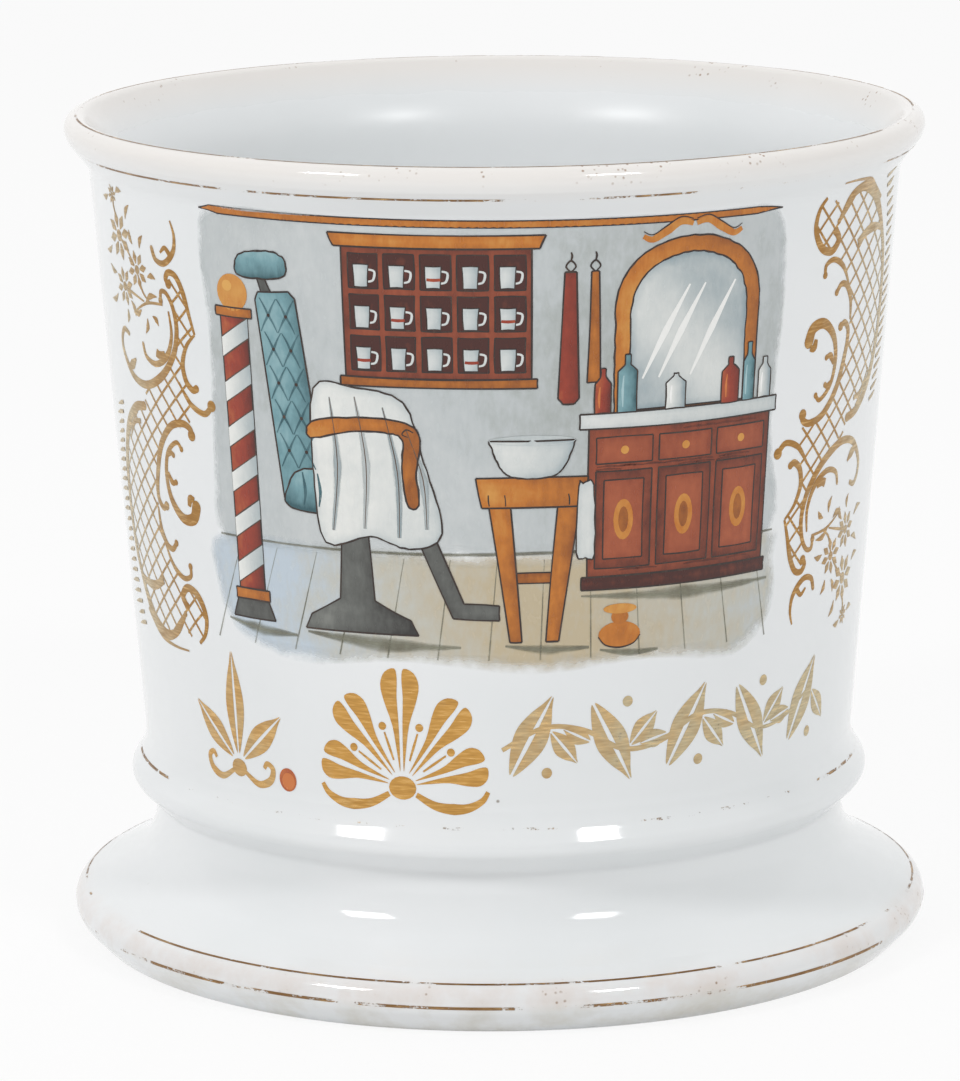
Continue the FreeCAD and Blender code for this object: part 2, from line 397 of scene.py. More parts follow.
def level(number):
    """How far a layer of paint stands off the glaze, the first lying lowest."""
    return first_level + level_step * number


def new_work(foot=0.0):
    """An empty drawing whose y starts at a height on the wall."""
    return {"foot": foot, "points": [], "faces": [], "cover": [], "shade": []}


def add_point(work, x, y, proud, cover, shade):
    """Put one point in a drawing and give its number."""
    work["points"].append((x, y + work["foot"], proud))
    work["cover"].append(cover)
    work["shade"].append(shade(x, y) if callable(shade) else shade)
    return len(work["points"]) - 1


def edge_distance(x, y, outline):
    """How far a point lies from an outline."""
    nearest = 1000.0
    for a, b in zip(outline, outline[1:] + outline[:1]):
        run = (b[0] - a[0], b[1] - a[1])
        along = ((x - a[0]) * run[0] + (y - a[1]) * run[1]) / max(run[0] ** 2 + run[1] ** 2, 1e-9)
        along = max(0.0, min(1.0, along))
        nearest = min(nearest, math.hypot(x - a[0] - along * run[0], y - a[1] - along * run[1]))
    return nearest


def field(work, outline, proud, shade=0.0, feather=0.0, pool=0.0, cell=field_cell):
    """A field of colour inside an outline, divided so that it bends with the wall.

    Its edge fades out over feather, or darkens by pool where the enamel gathers.
    """
    flat = bmesh.new()
    flat.faces.new([flat.verts.new((x, y, 0)) for x, y in outline])
    for axis in (0, 1):
        low = min(point[axis] for point in outline)
        high = max(point[axis] for point in outline)
        parts = math.ceil((high - low) / cell)
        for part in range(1, parts):
            place = [0.0, 0.0, 0.0]
            place[axis] = low + (high - low) * part / parts
            square = [0.0, 0.0, 0.0]
            square[axis] = 1.0
            bmesh.ops.bisect_plane(flat, geom=flat.verts[:] + flat.edges[:] + flat.faces[:], dist=1e-5,
                                   plane_co=place, plane_no=square)
    bmesh.ops.triangulate(flat, faces=flat.faces[:])
    flat.normal_update()
    flat.verts.index_update()
    numbers = []
    for vert in flat.verts:
        cover = 1.0
        tone = shade(vert.co.x, vert.co.y) if callable(shade) else shade
        inward = edge_distance(vert.co.x, vert.co.y, outline) if feather or pool else 0.0
        if feather:
            cover = min(1.0, inward / feather)
        if pool:
            tone += pool * max(0.0, 1 - inward / pool_width)
        numbers.append(add_point(work, vert.co.x, vert.co.y, proud, cover, tone))
    for face in flat.faces:
        corners = [numbers[vert.index] for vert in face.verts]
        work["faces"].append(corners if face.normal.z > 0 else corners[::-1])
    flat.free()


def smooth_line(points, per_span=8, closed=False):
    """A smooth curve through points."""
    if closed:
        ends = [points[-1]] + list(points) + list(points[:2])
    else:
        ends = [points[0]] + list(points) + [points[-1]]
    line = []
    for a, b, c, d in zip(ends, ends[1:], ends[2:], ends[3:]):
        for step in range(per_span):
            t = step / per_span
            line.append(tuple(
                0.5 * (2 * q + (r - p) * t + (2 * p - 5 * q + 4 * r - s) * t ** 2
                       + (3 * q - p - 3 * r + s) * t ** 3)
                for p, q, r, s in zip(a, b, c, d)
            ))
    if not closed:
        line.append(tuple(points[-1]))
    return line


def laid_on_wall(name, work, material):
    """Make a drawing a mesh that lies on the wall of the mug."""
    mesh = bpy.data.meshes.new(name)
    mesh.from_pydata([on_wall(*point) for point in work["points"]], [], work["faces"])
    for layer in ("cover", "shade"):
        values = mesh.attributes.new(layer, "FLOAT", "POINT")
        values.data.foreach_set("value", work[layer])
    mesh.update()
    piece = bpy.data.objects.new(name, mesh)
    bpy.context.scene.collection.objects.link(piece)
    mesh.materials.append(material)
    pick(piece)
    bpy.ops.object.shade_smooth()
    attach(piece, "root")
    return piece


def node_group(name, inputs, outputs):
    """An empty shader group with named inputs and outputs."""
    group = bpy.data.node_groups.new(name, "ShaderNodeTree")
    for label, kind, value in inputs:
        socket = group.interface.new_socket(name=label, in_out="INPUT", socket_type="NodeSocket" + kind)
        socket.default_value = value
    for label, kind in outputs:
        group.interface.new_socket(name=label, in_out="OUTPUT", socket_type="NodeSocket" + kind)
    return group, group.nodes.new("NodeGroupInput"), group.nodes.new("NodeGroupOutput")


def carried(tree, name):
    """A value that the drawing's points carry."""
    node = tree.nodes.new("ShaderNodeAttribute")
    node.attribute_name = name
    return node.outputs["Fac"]


# Enamel lies in brush strokes: lighter where it is thin, darker where it pools,
# and broken up at a faded edge.
brushed, taken, given = node_group(
    "brushed_enamel",
    [("Colour", "Color", paint(150, 72, 42)), ("Light Colour", "Color", paint(190, 110, 70)),
     ("Shade Colour", "Color", paint(80, 34, 22)), ("Mottling", "Float", 0.5), ("Opacity", "Float", 1.0)],
    [("Colour", "Color"), ("Roughness", "Float"), ("Alpha", "Float"), ("Height", "Float")],
)
cloud = noise(brushed, 330, 3)
streak = noise(brushed, 1500, 2, (1, 1, 0.4))
dapple = plus(brushed, noise_between(brushed, cloud, -0.6, 0.6), noise_between(brushed, streak, -0.4, 0.4))
tone = plus(brushed, carried(brushed, "shade"), times(brushed, dapple, taken.outputs["Mottling"]))
darker = larger(brushed, tone, 0.0, True)
lighter = times(brushed, tone, -1.0, True)
colour = mixed(brushed, lighter, taken.outputs["Colour"], taken.outputs["Light Colour"])
colour = mixed(brushed, darker, colour, taken.outputs["Shade Colour"])
covered = carried(brushed, "cover")
at_edge = times(brushed, covered, minus(brushed, 1.0, covered))
open_edge = times(brushed, at_edge, noise_between(brushed, cloud, -1.2, 1.2))
alpha = times(brushed, plus(brushed, covered, open_edge, True), taken.outputs["Opacity"])
for label, value in (("Colour", colour), ("Roughness", noise_between(brushed, streak, 0.14, 0.3)),
                     ("Alpha", alpha), ("Height", streak)):
    brushed.links.new(value, given.inputs[label])
enamel_relief = 0.012 * mm


def laid_finish(name, group, values, relief):
    """A material that takes its looks from a shader group, and its shader."""
    material, tree, shader = principled(name)
    effect = tree.nodes.new("ShaderNodeGroup")
    effect.node_tree = group
    for label, value in values.items():
        effect.inputs[label].default_value = value
    for label, socket in (("Colour", "Base Color"), ("Roughness", "Roughness"), ("Alpha", "Alpha")):
        tree.links.new(effect.outputs[label], shader.inputs[socket])
    bumped(tree, shader, effect.outputs["Height"], relief)
    return material, shader


def enamel(name, colour, light, shade, mottling=0.4, opacity=1.0):
    """Coloured enamel, brushed on and fired; colours from 0 to 255."""
    material, shader = laid_finish(name, brushed, {
        "Colour": paint(*colour), "Light Colour": paint(*light), "Shade Colour": paint(*shade),
        "Mottling": mottling, "Opacity": opacity,
    }, enamel_relief)
    return material


wall_wash_colour = enamel("wall_wash", (206, 212, 213), (222, 226, 226), (176, 182, 178), 0.5, 0.8)
work = new_work(picture_foot)
wall_wash_outline = smooth_line([
    (-32.4, 11.6), (-33.4, 20), (-32.6, 33), (-33.2, 43), (-31.4, 47.8), (-20, 48.1), (-5, 47.5), (9, 48.0),
    (22, 47.8), (31.0, 47.2), (32.6, 38), (31.8, 24), (32.6, 12.2), (16, 11.4), (0, 11.9), (-16, 11.3),
], 4, True)
wall_wash_fade = 1.0
field(work, wall_wash_outline, level(0),
      lambda x, y: 0.3 * math.sin(x / 6.5) + 0.25 * math.cos(y / 5) + x / 90, wall_wash_fade)
laid_on_wall("wall_wash", work, wall_wash_colour)

floor_wash_colour = enamel("floor_wash", (208, 206, 194), (206, 219, 230), (206, 190, 158), 0.45, 0.85)
work = new_work(picture_foot)
floor_wash_outline = smooth_line([
    (-33.2, 12.4), (-34.4, 7), (-31.6, 1.6), (-23, -0.8), (-10, 0.2), (4, -1.0), (17, 0.0), (28, -1.0),
    (33.6, 3.4), (33.4, 9), (32.6, 12.4), (16, 12.7), (0, 12.2), (-16, 12.8),
], 4, True)
floor_wash_fade = 1.6
field(work, floor_wash_outline, level(1),
      lambda x, y: min(1.0, max(-1.0, (x + 12) / 14)) - 0.05 * max(0.0, x - 8), floor_wash_fade)
laid_on_wall("floor_wash", work, floor_wash_colour)


def stroke(work, points, widths, proud, shade=0.0, crown=0.0, soft=False, per_span=8, cover=1.0):
    """A brush stroke along points; widths are those at its start, middle and end."""
    line = smooth_line(points, per_span)
    travelled = [0.0]
    for start, end in zip(line, line[1:]):
        travelled.append(travelled[-1] + math.dist(start, end))
    total = max(travelled[-1], 0.001)
    # place across the stroke, how well it covers there, and how high it stands
    across = ((-0.5, 1.0, 0.0), (0.0, 1.0, 1.0), (0.5, 1.0, 0.0))
    if soft:
        across = ((-0.5, 0.0, 0.0), (-0.25, 0.7, 0.8), (0.0, 1.0, 1.0), (0.25, 0.7, 0.8), (0.5, 0.0, 0.0))
    rows = []
    for index, (x, y) in enumerate(line):
        before = line[max(index - 1, 0)]
        after = line[min(index + 1, len(line) - 1)]
        step = max(math.dist(before, after), 0.0001)
        left = (-(after[1] - before[1]) / step, (after[0] - before[0]) / step)
        share = travelled[index] / total * 2
        width = widths[0] + (widths[1] - widths[0]) * share
        if share > 1:
            width = widths[1] + (widths[2] - widths[1]) * (share - 1)
        rows.append([
            add_point(work, x - left[0] * side * width, y - left[1] * side * width,
                      proud + crown * rise, cover * cover_here, shade)
            for side, cover_here, rise in across
        ])
    for row, following in zip(rows, rows[1:]):
        for side in range(len(across) - 1):
            work["faces"].append((row[side], row[side + 1], following[side + 1], following[side]))


def dot(work, x, y, width, height, proud, shade=0.0, crown=0.0, sides=14):
    """A round or oval touch of the brush."""
    middle = add_point(work, x, y, proud + crown, 1.0, shade)
    ring = []
    for side in range(sides):
        angle = 2 * math.pi * side / sides
        place = (x + width / 2 * math.cos(angle), y + height / 2 * math.sin(angle))
        ring.append(add_point(work, *place, proud, 1.0, shade))
    for side in range(sides):
        work["faces"].append((middle, ring[side], ring[(side + 1) % sides]))


# Every thing in the picture is a field of enamel with a thin dark outline, drawn
# with a fine pen. The outlines are one drawing of their own, made mesh further on.
ink_work = new_work(picture_foot)
ink_lift = 0.004
ink_width = 0.19
ink_run = 0.8


def inked(points, number, width=ink_width, closed=False, tone=0.0):
    """A pen line through points, straight from each to the next."""
    ends = points[1:] + points[:1] if closed else points[1:]
    for start, end in zip(points, ends):
        wobble = rng.uniform(-0.07, 0.07)
        middle = ((start[0] + end[0]) / 2 + wobble, (start[1] + end[1]) / 2 + wobble)
        spans = max(2, round(math.dist(start, end) / 2 / ink_run))
        stroke(ink_work, [start, middle, end], (width, width * rng.uniform(0.7, 1.3), width),
               level(number) + ink_lift, tone, per_span=spans)


def ink_curve(points, number, width=ink_width, tone=0.0):
    """A pen line that curves through points."""
    stroke(ink_work, points, (width * 0.7, width, width * 0.6), level(number) + ink_lift, tone, per_span=5)


def painted(work, outline, number, shade=0.0, width=ink_width):
    """A field of enamel with its pen outline."""
    field(work, outline, level(number), shade, pool=0.35)
    inked(list(outline), number, width, True)


def block(left, foot, right, top):
    """The outline of an upright rectangle."""
    return [(left, foot), (right, foot), (right, top), (left, top)]


def across_shade(left, right, first, last):
    """A tone that changes from left to right of a thing."""
    return lambda x, y: first + (last - first) * max(0.0, min(1.0, (x - left) / (right - left)))


# Mahogany red-brown: the long bar under the mirror with its drawers and panelled
# doors, and the wall rack with its pigeonholes.
mahogany_enamel = enamel("mahogany_enamel", (148, 70, 42), (186, 100, 62), (70, 28, 20), 0.35)
mahogany_work = new_work(picture_foot)
bar_left, bar_right, bar_foot, bar_top = 9.6, 31.2, 9.4, 25.4
painted(mahogany_work, block(bar_left, bar_foot, bar_right, bar_top), 3, across_shade(9, 31, -0.1, 0.35))
painted(mahogany_work, block(bar_left - 0.6, 8.0, bar_right + 0.5, bar_foot), 4, 0.75)
door_width = 6.2
door_pitch = door_width + 0.75
first_door = bar_left + 0.8
for door in range(3):
    left = first_door + door * door_pitch
    painted(mahogany_work, block(left, 21.6, left + door_width, 24.4), 4, -0.35, 0.16)
    painted(mahogany_work, block(left, 10.3, left + door_width, 20.8), 4, 0.3, 0.16)
    painted(mahogany_work, block(left + 0.9, 11.3, left + door_width - 0.9, 19.8), 5, -0.45, 0.16)
rack_left, rack_right, rack_foot, rack_top = -15.6, 3.6, 31.0, 44.8
painted(mahogany_work, block(rack_left, rack_foot, rack_right, rack_top), 3, 0.15)
hole_columns, hole_rows = 5, 3
hole_width, hole_height = 3.1, 3.7
column_pitch = (rack_right - rack_left - 0.7) / hole_columns
row_pitch = (rack_top - rack_foot - 0.7) / hole_rows
holes = []
for row in range(hole_rows):
    for column in range(hole_columns):
        left = rack_left + 0.7 + column * column_pitch
        foot = rack_foot + 0.7 + row * row_pitch
        painted(mahogany_work, block(left, foot, left + hole_width, foot + hole_height), 4, 0.95, 0.14)
        holes.append((left, foot))
for index in range(26):
    # a few strokes of grain along the bar and the sides of the rack
    x = rng.uniform(bar_left + 0.4, bar_right - 3)
    y = rng.choice((20.95, 21.25, 24.8, 10.0))
    stroke(mahogany_work, [(x, y), (x + 1.4, y + 0.1), (x + 2.8, y)], (0.1, 0.22, 0.1), level(5), 0.7,
           per_span=3)
mahogany_paint = laid_on_wall("mahogany_paint", mahogany_work, mahogany_enamel)
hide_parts("enamel_mahogany")

# Ochre yellow: the arched frame of the mirror, the washstand, the cornices, the
# chair's arm, the pole's ball and bands, knobs, a spittoon and a strop.
ochre_enamel = enamel("ochre_enamel", (196, 118, 38), (224, 168, 84), (128, 66, 22), 0.4)
ochre_work = new_work(picture_foot)
mirror_middle = 20.5


def arch(half_outline):
    """A smooth arch about the mirror's middle; each point a half width and a height."""
    left = [(mirror_middle - half, height) for half, height in half_outline]
    right = [(mirror_middle + half, height) for half, height in half_outline[-2::-1]]
    return smooth_line(left + right, 4)


painted(ochre_work, arch([(8.3, 27.0), (8.3, 34.0), (8.1, 40.0), (5.3, 43.9), (0, 45.4)]), 3,
        across_shade(12, 29, -0.3, 0.4))
half_crest = ((0.2, 46.6), (1.6, 46.9), (3.2, 46.0), (4.6, 45.2), (5.6, 45.6))
for mirrored in (-1, 1):
    crest = [(mirror_middle + mirrored * x, y) for x, y in half_crest]
    stroke(ochre_work, crest, (0.5, 1.0, 0.5), level(4), -0.2, per_span=5)
    ink_curve([(x, y + 0.5) for x, y in crest], 4, 0.16)
cornice = [(-32.6, 47.5), (-30, 47.1), (28, 46.9), (31.4, 47.2), (28, 47.6), (-31, 47.9)]
painted(ochre_work, cornice, 2, -0.2, 0.15)
painted(ochre_work, [(-16.4, 44.8), (4.4, 44.8), (5.0, 46.2), (-17.0, 46.2)], 5, -0.2)
painted(ochre_work, block(-16.2, 30.0, 4.2, 31.0), 5, 0.3)
painted(ochre_work, block(0.6, 9.0, 7.2, 10.1), 4, 0.5, 0.18)
for leg in ([(1.4, 17.6), (2.6, 2.6), (1.3, 2.6), (-0.9, 17.6)],
            [(6.4, 17.6), (5.2, 2.6), (6.6, 2.6), (8.8, 17.6)]):
    painted(ochre_work, leg, 5, across_shade(leg[2][0] - 1.5, leg[2][0] + 2.0, -0.3, 0.5))
painted(ochre_work, [(-1.6, 17.2), (9.2, 17.2), (9.6, 20.4), (-2.2, 20.4)], 6, across_shade(-2, 9, -0.4, 0.3))
for x in (-0.8, 0.9, 7.6):
    inked([(x, 17.4), (x - 0.1, 18.6)], 6, 0.13)
chair_arm = [(-20.0, 24.0), (-15.6, 25.0), (-11.6, 25.1), (-9.8, 24.4), (-9.9, 21.0), (-9.4, 17.4),
             (-8.2, 17.4), (-8.4, 21.0), (-7.9, 24.4), (-9.4, 26.2), (-14.8, 26.6), (-19.8, 25.8)]
painted(ochre_work, smooth_line(chair_arm, 3, True), 8, across_shade(-20, -8, -0.3, 0.4), 0.2)
ink_curve([(-8.6, 25.2), (-9.3, 25.5), (-9.8, 25.0), (-9.2, 24.7)], 8, 0.16)
dot(ochre_work, -28.8, 38.8, 4.0, 4.0, level(5), -0.35, 0.0, 24)
dot(ochre_work, -29.4, 39.5, 1.3, 1.2, level(6), -1.0)
for foot, top in ((36.2, 37.2), (5.4, 6.6)):
    painted(ochre_work, block(-31.2, foot, -26.4, top), 5, 0.0, 0.18)
for door in range(3):
    middle = first_door + door * door_pitch + door_width / 2
    dot(ochre_work, middle, 23.0, 0.9, 0.9, level(6), -0.5)
    dot(ochre_work, middle, 15.5, 2.2, 4.4, level(6), -0.2, 0.0, 20)
    dot(ochre_work, middle, 15.5, 1.1, 2.8, level(7), 0.6, 0.0, 16)
dot(ochre_work, 13.4, 3.0, 4.8, 2.8, level(6), 0.0, 0.0, 22)
dot(ochre_work, 13.4, 4.9, 2.0, 1.6, level(7), 0.2, 0.0, 14)
dot(ochre_work, 13.4, 5.8, 3.8, 1.1, level(8), -0.4, 0.0, 18)
ink_curve([(11.0, 2.8), (11.8, 1.9), (13.4, 1.55), (15.0, 1.9), (15.8, 2.8)], 8, 0.18)
painted(ochre_work, [(9.3, 30.4), (10.7, 30.4), (10.4, 42.2), (9.6, 42.2)], 3, 0.2, 0.18)
ochre_paint = laid_on_wall("ochre_paint", ochre_work, ochre_enamel)
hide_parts("enamel_ochre_wood")

# Teal blue-green: the buttoned leather of the chair and two bottles.
teal_enamel = enamel("teal_enamel", (118, 160, 168), (170, 202, 206), (52, 92, 100), 0.4)
teal_work = new_work(picture_foot)
chair_back = [(-25.8, 38.3), (-25.4, 39.2), (-21.7, 39.5), (-21.0, 38.8), (-18.9, 21.6), (-20.0, 16.6),
              (-22.8, 16.4), (-23.6, 17.2)]
painted(teal_work, chair_back, 5, across_shade(-26, -19, -0.5, 0.5))
headrest = [(-28.0, 40.9), (-27.6, 43.0), (-24.6, 43.6), (-22.2, 43.2), (-22.0, 41.2), (-24.8, 40.6)]
painted(teal_work, smooth_line(headrest, 3, True), 6, lambda x, y: (42.2 - y) / 2)
seat = [(-22.8, 16.2), (-14.0, 15.8), (-7.8, 16.0), (-6.9, 17.8), (-7.6, 20.2), (-14.0, 20.7), (-21.0, 20.6),
        (-23.0, 18.6)]
painted(teal_work, smooth_line(seat, 3, True), 6, lambda x, y: (18.6 - y) / 3)
for row in range(5):
    # rows of buttons down the back, with folds running between them
    y = 22.4 + row * 3.6
    middle = -21.6 - row * 0.4
    for button in (middle - 1.05, middle + 1.05):
        dot(ink_work, button, y, 0.4, 0.4, level(8), 0.1, 0.0, 8)
        for across, up in ((-1.0, 1.8), (1.0, 1.8), (-1.0, -1.8), (1.0, -1.8)):
            fold = [(button, y), (button + across * 0.5, y + up * 0.5 + 0.1), (button + across, y + up)]
            stroke(teal_work, fold, (0.32, 0.2, 0.12), level(7), 0.85, per_span=3)
for x in (-21.2, -19.4):
    stroke(teal_work, [(x, 16.6), (x + 0.25, 18.2), (x, 20.2)], (0.15, 0.4, 0.15), level(7), 0.95, per_span=4)
bottle_places = [
    # middle, width, body height, neck height of each bottle on the bar
    (11.0, 1.7, 3.2, 1.6), (13.6, 2.1, 4.4, 1.8), (16.4, 1.5, 3.6, 2.4), (19.0, 2.3, 2.8, 1.0),
    (23.0, 1.8, 4.8, 1.8), (25.6, 2.2, 3.4, 1.5), (28.0, 1.5, 4.2, 2.0), (30.2, 1.7, 3.0, 1.4),
]
bar_slab_top = 27.0


def bottle(work, number, tone):
    """One of the bottles that stand along the bar."""
    middle, width, body, neck = bottle_places[number]
    half = width / 2
    shoulder = bar_slab_top + body
    mouth = shoulder + neck
    outline = [(middle - half, bar_slab_top), (middle + half, bar_slab_top), (middle + half, shoulder),
               (middle + 0.3, shoulder + 0.7), (middle + 0.3, mouth), (middle - 0.3, mouth),
               (middle - 0.3, shoulder + 0.7), (middle - half, shoulder)]
    painted(work, outline, 7, across_shade(middle - half, middle + half, tone - 0.6, tone + 0.5), 0.16)
    gleam = [(middle - half * 0.45, bar_slab_top + 0.6), (middle - half * 0.5, bar_slab_top + body * 0.55),
             (middle - half * 0.4, bar_slab_top + body * 0.9)]
    stroke(work, gleam, (0.1, 0.3, 0.1), level(8), -1.0, per_span=3)


for number in (1, 6):
    bottle(teal_work, number, 0.1)
teal_paint = laid_on_wall("teal_paint", teal_work, teal_enamel)
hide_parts("enamel_teal_leather")

# Red-brown: the pole with its white stripes, a strop, two bottles, bands on the
# small mugs, and the berry beside the gilt palmette.
red_brown_enamel = enamel("red_brown_enamel", (156, 58, 36), (210, 122, 62), (92, 30, 22), 0.35)
red_brown_work = new_work(picture_foot)
pole_left, pole_right, pole_foot, pole_top = -30.6, -27.0, 6.6, 36.2
pole_shade = across_shade(pole_left, pole_right, -0.5, 0.7)
painted(red_brown_work, block(pole_left, pole_foot, pole_right, pole_top), 3, pole_shade)
painted(red_brown_work, [(6.3, 28.8), (6.8, 28.2), (8.0, 28.2), (8.5, 28.8), (8.1, 42.2), (6.9, 42.2)], 3,
        across_shade(6, 9, -0.3, 0.5))
for number in (0, 5):
    bottle(red_brown_work, number, 0.0)
for index, (left, foot) in enumerate(holes):
    if index % 3 == 0:
        band = [(left + 0.65, foot + 1.1), (left + 1.35, foot + 1.05), (left + 2.05, foot + 1.1)]
        stroke(red_brown_work, band, (0.3, 0.34, 0.3), level(7), 0.0, per_span=3)
berry_place = (-25.6, 24.3 - picture_foot)
dot(red_brown_work, berry_place[0], berry_place[1], 2.4, 2.6, level(2), -0.55, 0.02, 22)
dot(red_brown_work, berry_place[0] + 0.1, berry_place[1] - 0.15, 1.8, 1.9, level(5), -1.2, 0.01, 16)
red_brown_paint = laid_on_wall("red_brown_paint", red_brown_work, red_brown_enamel)
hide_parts("enamel_red_brown")

# White: the cloth on the chair, the basin, the towel, the slab on the bar, the
# stripes of the pole, the mugs in the rack and the glass of the mirror.
linen_enamel = enamel("linen_enamel", (236, 237, 233), (250, 250, 248), (150, 166, 172), 0.12)
linen_work = new_work(picture_foot)
painted(linen_work, arch([(6.7, 27.2), (6.7, 34.0), (6.5, 39.2), (4.3, 42.4), (0, 43.7)]), 4,
        lambda x, y: 0.5 + 0.25 * math.sin((x + y) / 3.1), 0.18)
for start in (15.2, 17.0, 20.6):
    gleam = [(start, 30.5), (start + 2.4, 35.4), (start + 5.0, 40.2)]
    stroke(linen_work, gleam, (0.2, 0.75, 0.2), level(5), -0.6)
painted(linen_work, block(bar_left - 1.0, bar_top, bar_right + 0.9, bar_slab_top), 6,
        across_shade(9, 32, 0.05, 0.35))
cloth = [(-19.4, 29.4), (-15.0, 29.8), (-9.6, 28.4), (-7.6, 22.0), (-5.8, 14.4), (-9.4, 12.6), (-13.6, 13.8),
         (-18.8, 12.8), (-19.8, 20.0)]
painted(linen_work, smooth_line(cloth, 4, True), 7, across_shade(-20, -6, 0.0, 0.3))
for start, end, tone in (((-17.6, 28.6), (-17.8, 14.2), 0.8), ((-14.8, 28.8), (-14.2, 14.6), 0.55),
                         ((-11.8, 27.8), (-10.4, 13.8), 0.9), ((-9.4, 25.6), (-7.4, 14.8), 0.7)):
    middle = ((start[0] + end[0]) / 2 + 0.7, (start[1] + end[1]) / 2)
    stroke(linen_work, [start, middle, end], (0.2, 1.1, 0.5), level(7.5), tone, soft=True)
    ink_curve([start, middle, end], 7.5, 0.12, 0.6)
basin = [(-0.8, 24.4), (0.2, 21.8), (1.8, 20.5), (5.6, 20.5), (7.2, 21.8), (8.2, 24.4)]
painted(linen_work, smooth_line(basin, 4), 7, across_shade(-1, 8, 0.0, 0.6))
dot(linen_work, 3.7, 24.4, 9.0, 1.1, level(8), 0.55, 0.0, 24)
towel = [(9.0, 19.6), (10.2, 19.4), (10.4, 12.0), (9.4, 11.6), (8.4, 12.2), (8.6, 19.4)]
painted(linen_work, smooth_line(towel, 3, True), 8, 0.15, 0.16)
stripe_pitch = 4.9
for index in range(6):
    foot = pole_foot + 0.6 + index * stripe_pitch
    lower_edge = [(pole_left, foot), (pole_right, foot + 2.3)]
    upper_edge = [(pole_left, foot + 2.2), (pole_right, foot + 4.5)]
    field(linen_work, lower_edge + upper_edge[::-1], level(4), across_shade(pole_left, pole_right, -0.1, 0.8))
    for edge in (lower_edge, upper_edge):
        inked(edge, 4, 0.14, tone=0.4)
small_mug = ((0.6, 0.15), (2.0, 0.15), (2.15, 2.5), (0.5, 2.5))
small_handle = ((2.05, 2.0), (2.75, 1.8), (2.6, 0.9), (2.0, 0.7))
for left, foot in holes:
    painted(linen_work, [(left + x, foot + y) for x, y in small_mug], 6,
            across_shade(left + 0.4, left + 2.2, 0.0, 0.5), 0.12)
    stroke(linen_work, [(left + x, foot + y) for x, y in small_handle], (0.2, 0.26, 0.2), level(5), 0.3,
           per_span=4)
for number in (3, 7):
    bottle(linen_work, number, 0.3)
linen_paint = laid_on_wall("linen_paint", linen_work, linen_enamel)
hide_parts("enamel_white_linen")

# Iron grey: the chair's pedestal, headrest post and footrest, the hooks of the
# strops and the foot of the pole, in a cool dark grey brushed on fairly flat.
iron_enamel = enamel("iron_enamel", (104, 106, 102), (150, 152, 146), (48, 46, 44), 0.35)
iron_work = new_work(picture_foot)
pedestal = [(-21.8, 3.2), (-8.6, 3.2), (-9.4, 4.8), (-13.4, 6.8), (-14.0, 15.7), (-16.8, 15.7), (-17.4, 6.8),
            (-21.0, 4.8)]
painted(iron_work, pedestal, 4, across_shade(-20, -10, -0.4, 0.7))
painted(iron_work, [(-25.0, 39.2), (-23.8, 39.3), (-24.6, 41.2), (-25.6, 41.2)], 4, 0.2, 0.16)
painted(iron_work, [(-7.4, 15.8), (-8.8, 14.6), (-4.8, 5.2), (0.2, 5.0), (0.2, 6.6), (-3.6, 6.8)], 6, 0.1)
painted(iron_work, [(-31.8, 3.4), (-25.8, 3.4), (-26.6, 5.4), (-31.0, 5.4)], 4, 0.2)
for x, y in ((7.5, 43.2), (10.0, 43.2)):
    ink_curve([(x, y - 1.0), (x - 0.5, y - 0.4), (x, y + 0.2), (x + 0.5, y - 0.4), (x, y - 1.0)], 4, 0.22)
    ink_curve([(x, y + 0.2), (x + 0.1, y + 0.7), (x, y + 1.1)], 4, 0.24)
iron_paint = laid_on_wall("iron_paint", iron_work, iron_enamel)
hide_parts("enamel_iron_grey")

# Soft shadows lie under the furniture, with the joints of the floor boards and the
# line where floor meets wall: thin grey enamel, brushed over the washes first, so
# that it lies below everything that stands on the floor.
shadow_enamel = enamel("shadow_enamel", (138, 138, 118), (170, 170, 150), (96, 92, 78), 0.6, 0.75)
shadow_work = new_work(picture_foot)
cast_shadows = [
    # start, end and width of each shadow
    ((-32.6, 3.0), (-23.0, 2.2), 1.6), ((-21.6, 2.8), (-4.0, 2.0), 2.0), ((0.8, 2.2), (10.0, 1.8), 1.3),
    ((9.0, 7.4), (32.4, 7.0), 1.8), ((11.2, 1.4), (18.0, 1.0), 1.0),
]
for start, end, width in cast_shadows:
    middle = ((start[0] + end[0]) / 2, (start[1] + end[1]) / 2 - 0.3)
    stroke(shadow_work, [start, middle, end], (0.3, width, 0.4), level(2), 0.2, soft=True, per_span=10)
board_width = 5.0
for board in range(13):
    far = -30.0 + board * board_width
    near = far * 1.12 - 1.0
    board_joint = [(far, 11.6), ((far + near) / 2, 6.0), (near, 0.6)]
    stroke(shadow_work, board_joint, (0.12, 0.2, 0.26), level(2), 0.1, soft=True, per_span=5, cover=0.8)
back_edge = [(-33.0, 12.2), (-10, 12.1), (10, 12.3), (32.8, 12.2)]
stroke(shadow_work, back_edge, (0.3, 0.5, 0.3), level(2), 0.4, soft=True, per_span=18)
laid_on_wall("floor_shadows", shadow_work, shadow_enamel)

# The thin dark outlines of everything in the picture, gathered in one drawing while
# the fields were laid. They are near-black brown enamel, thinned until it runs
# from a fine pen, and they lie just over the field that each belongs to.
ink_enamel = enamel("ink_enamel", (46, 34, 30), (70, 54, 46), (112, 90, 74), 0.35)
laid_on_wall("ink_lines", ink_work, ink_enamel)

# Two cartouches of gilt scrollwork frame the picture, one the other turned half
# round. They are brushed on over the glaze in liquid gold: scrolls with ball ends,
# a trellis field, a fringe and a spray of flowers, all a little rubbed.
cartouche_centre_height = 61.7
gilt_proud = 0.02
gilt_crown = 0.03
ball_lift = 0.004
ball_swell = 1.15
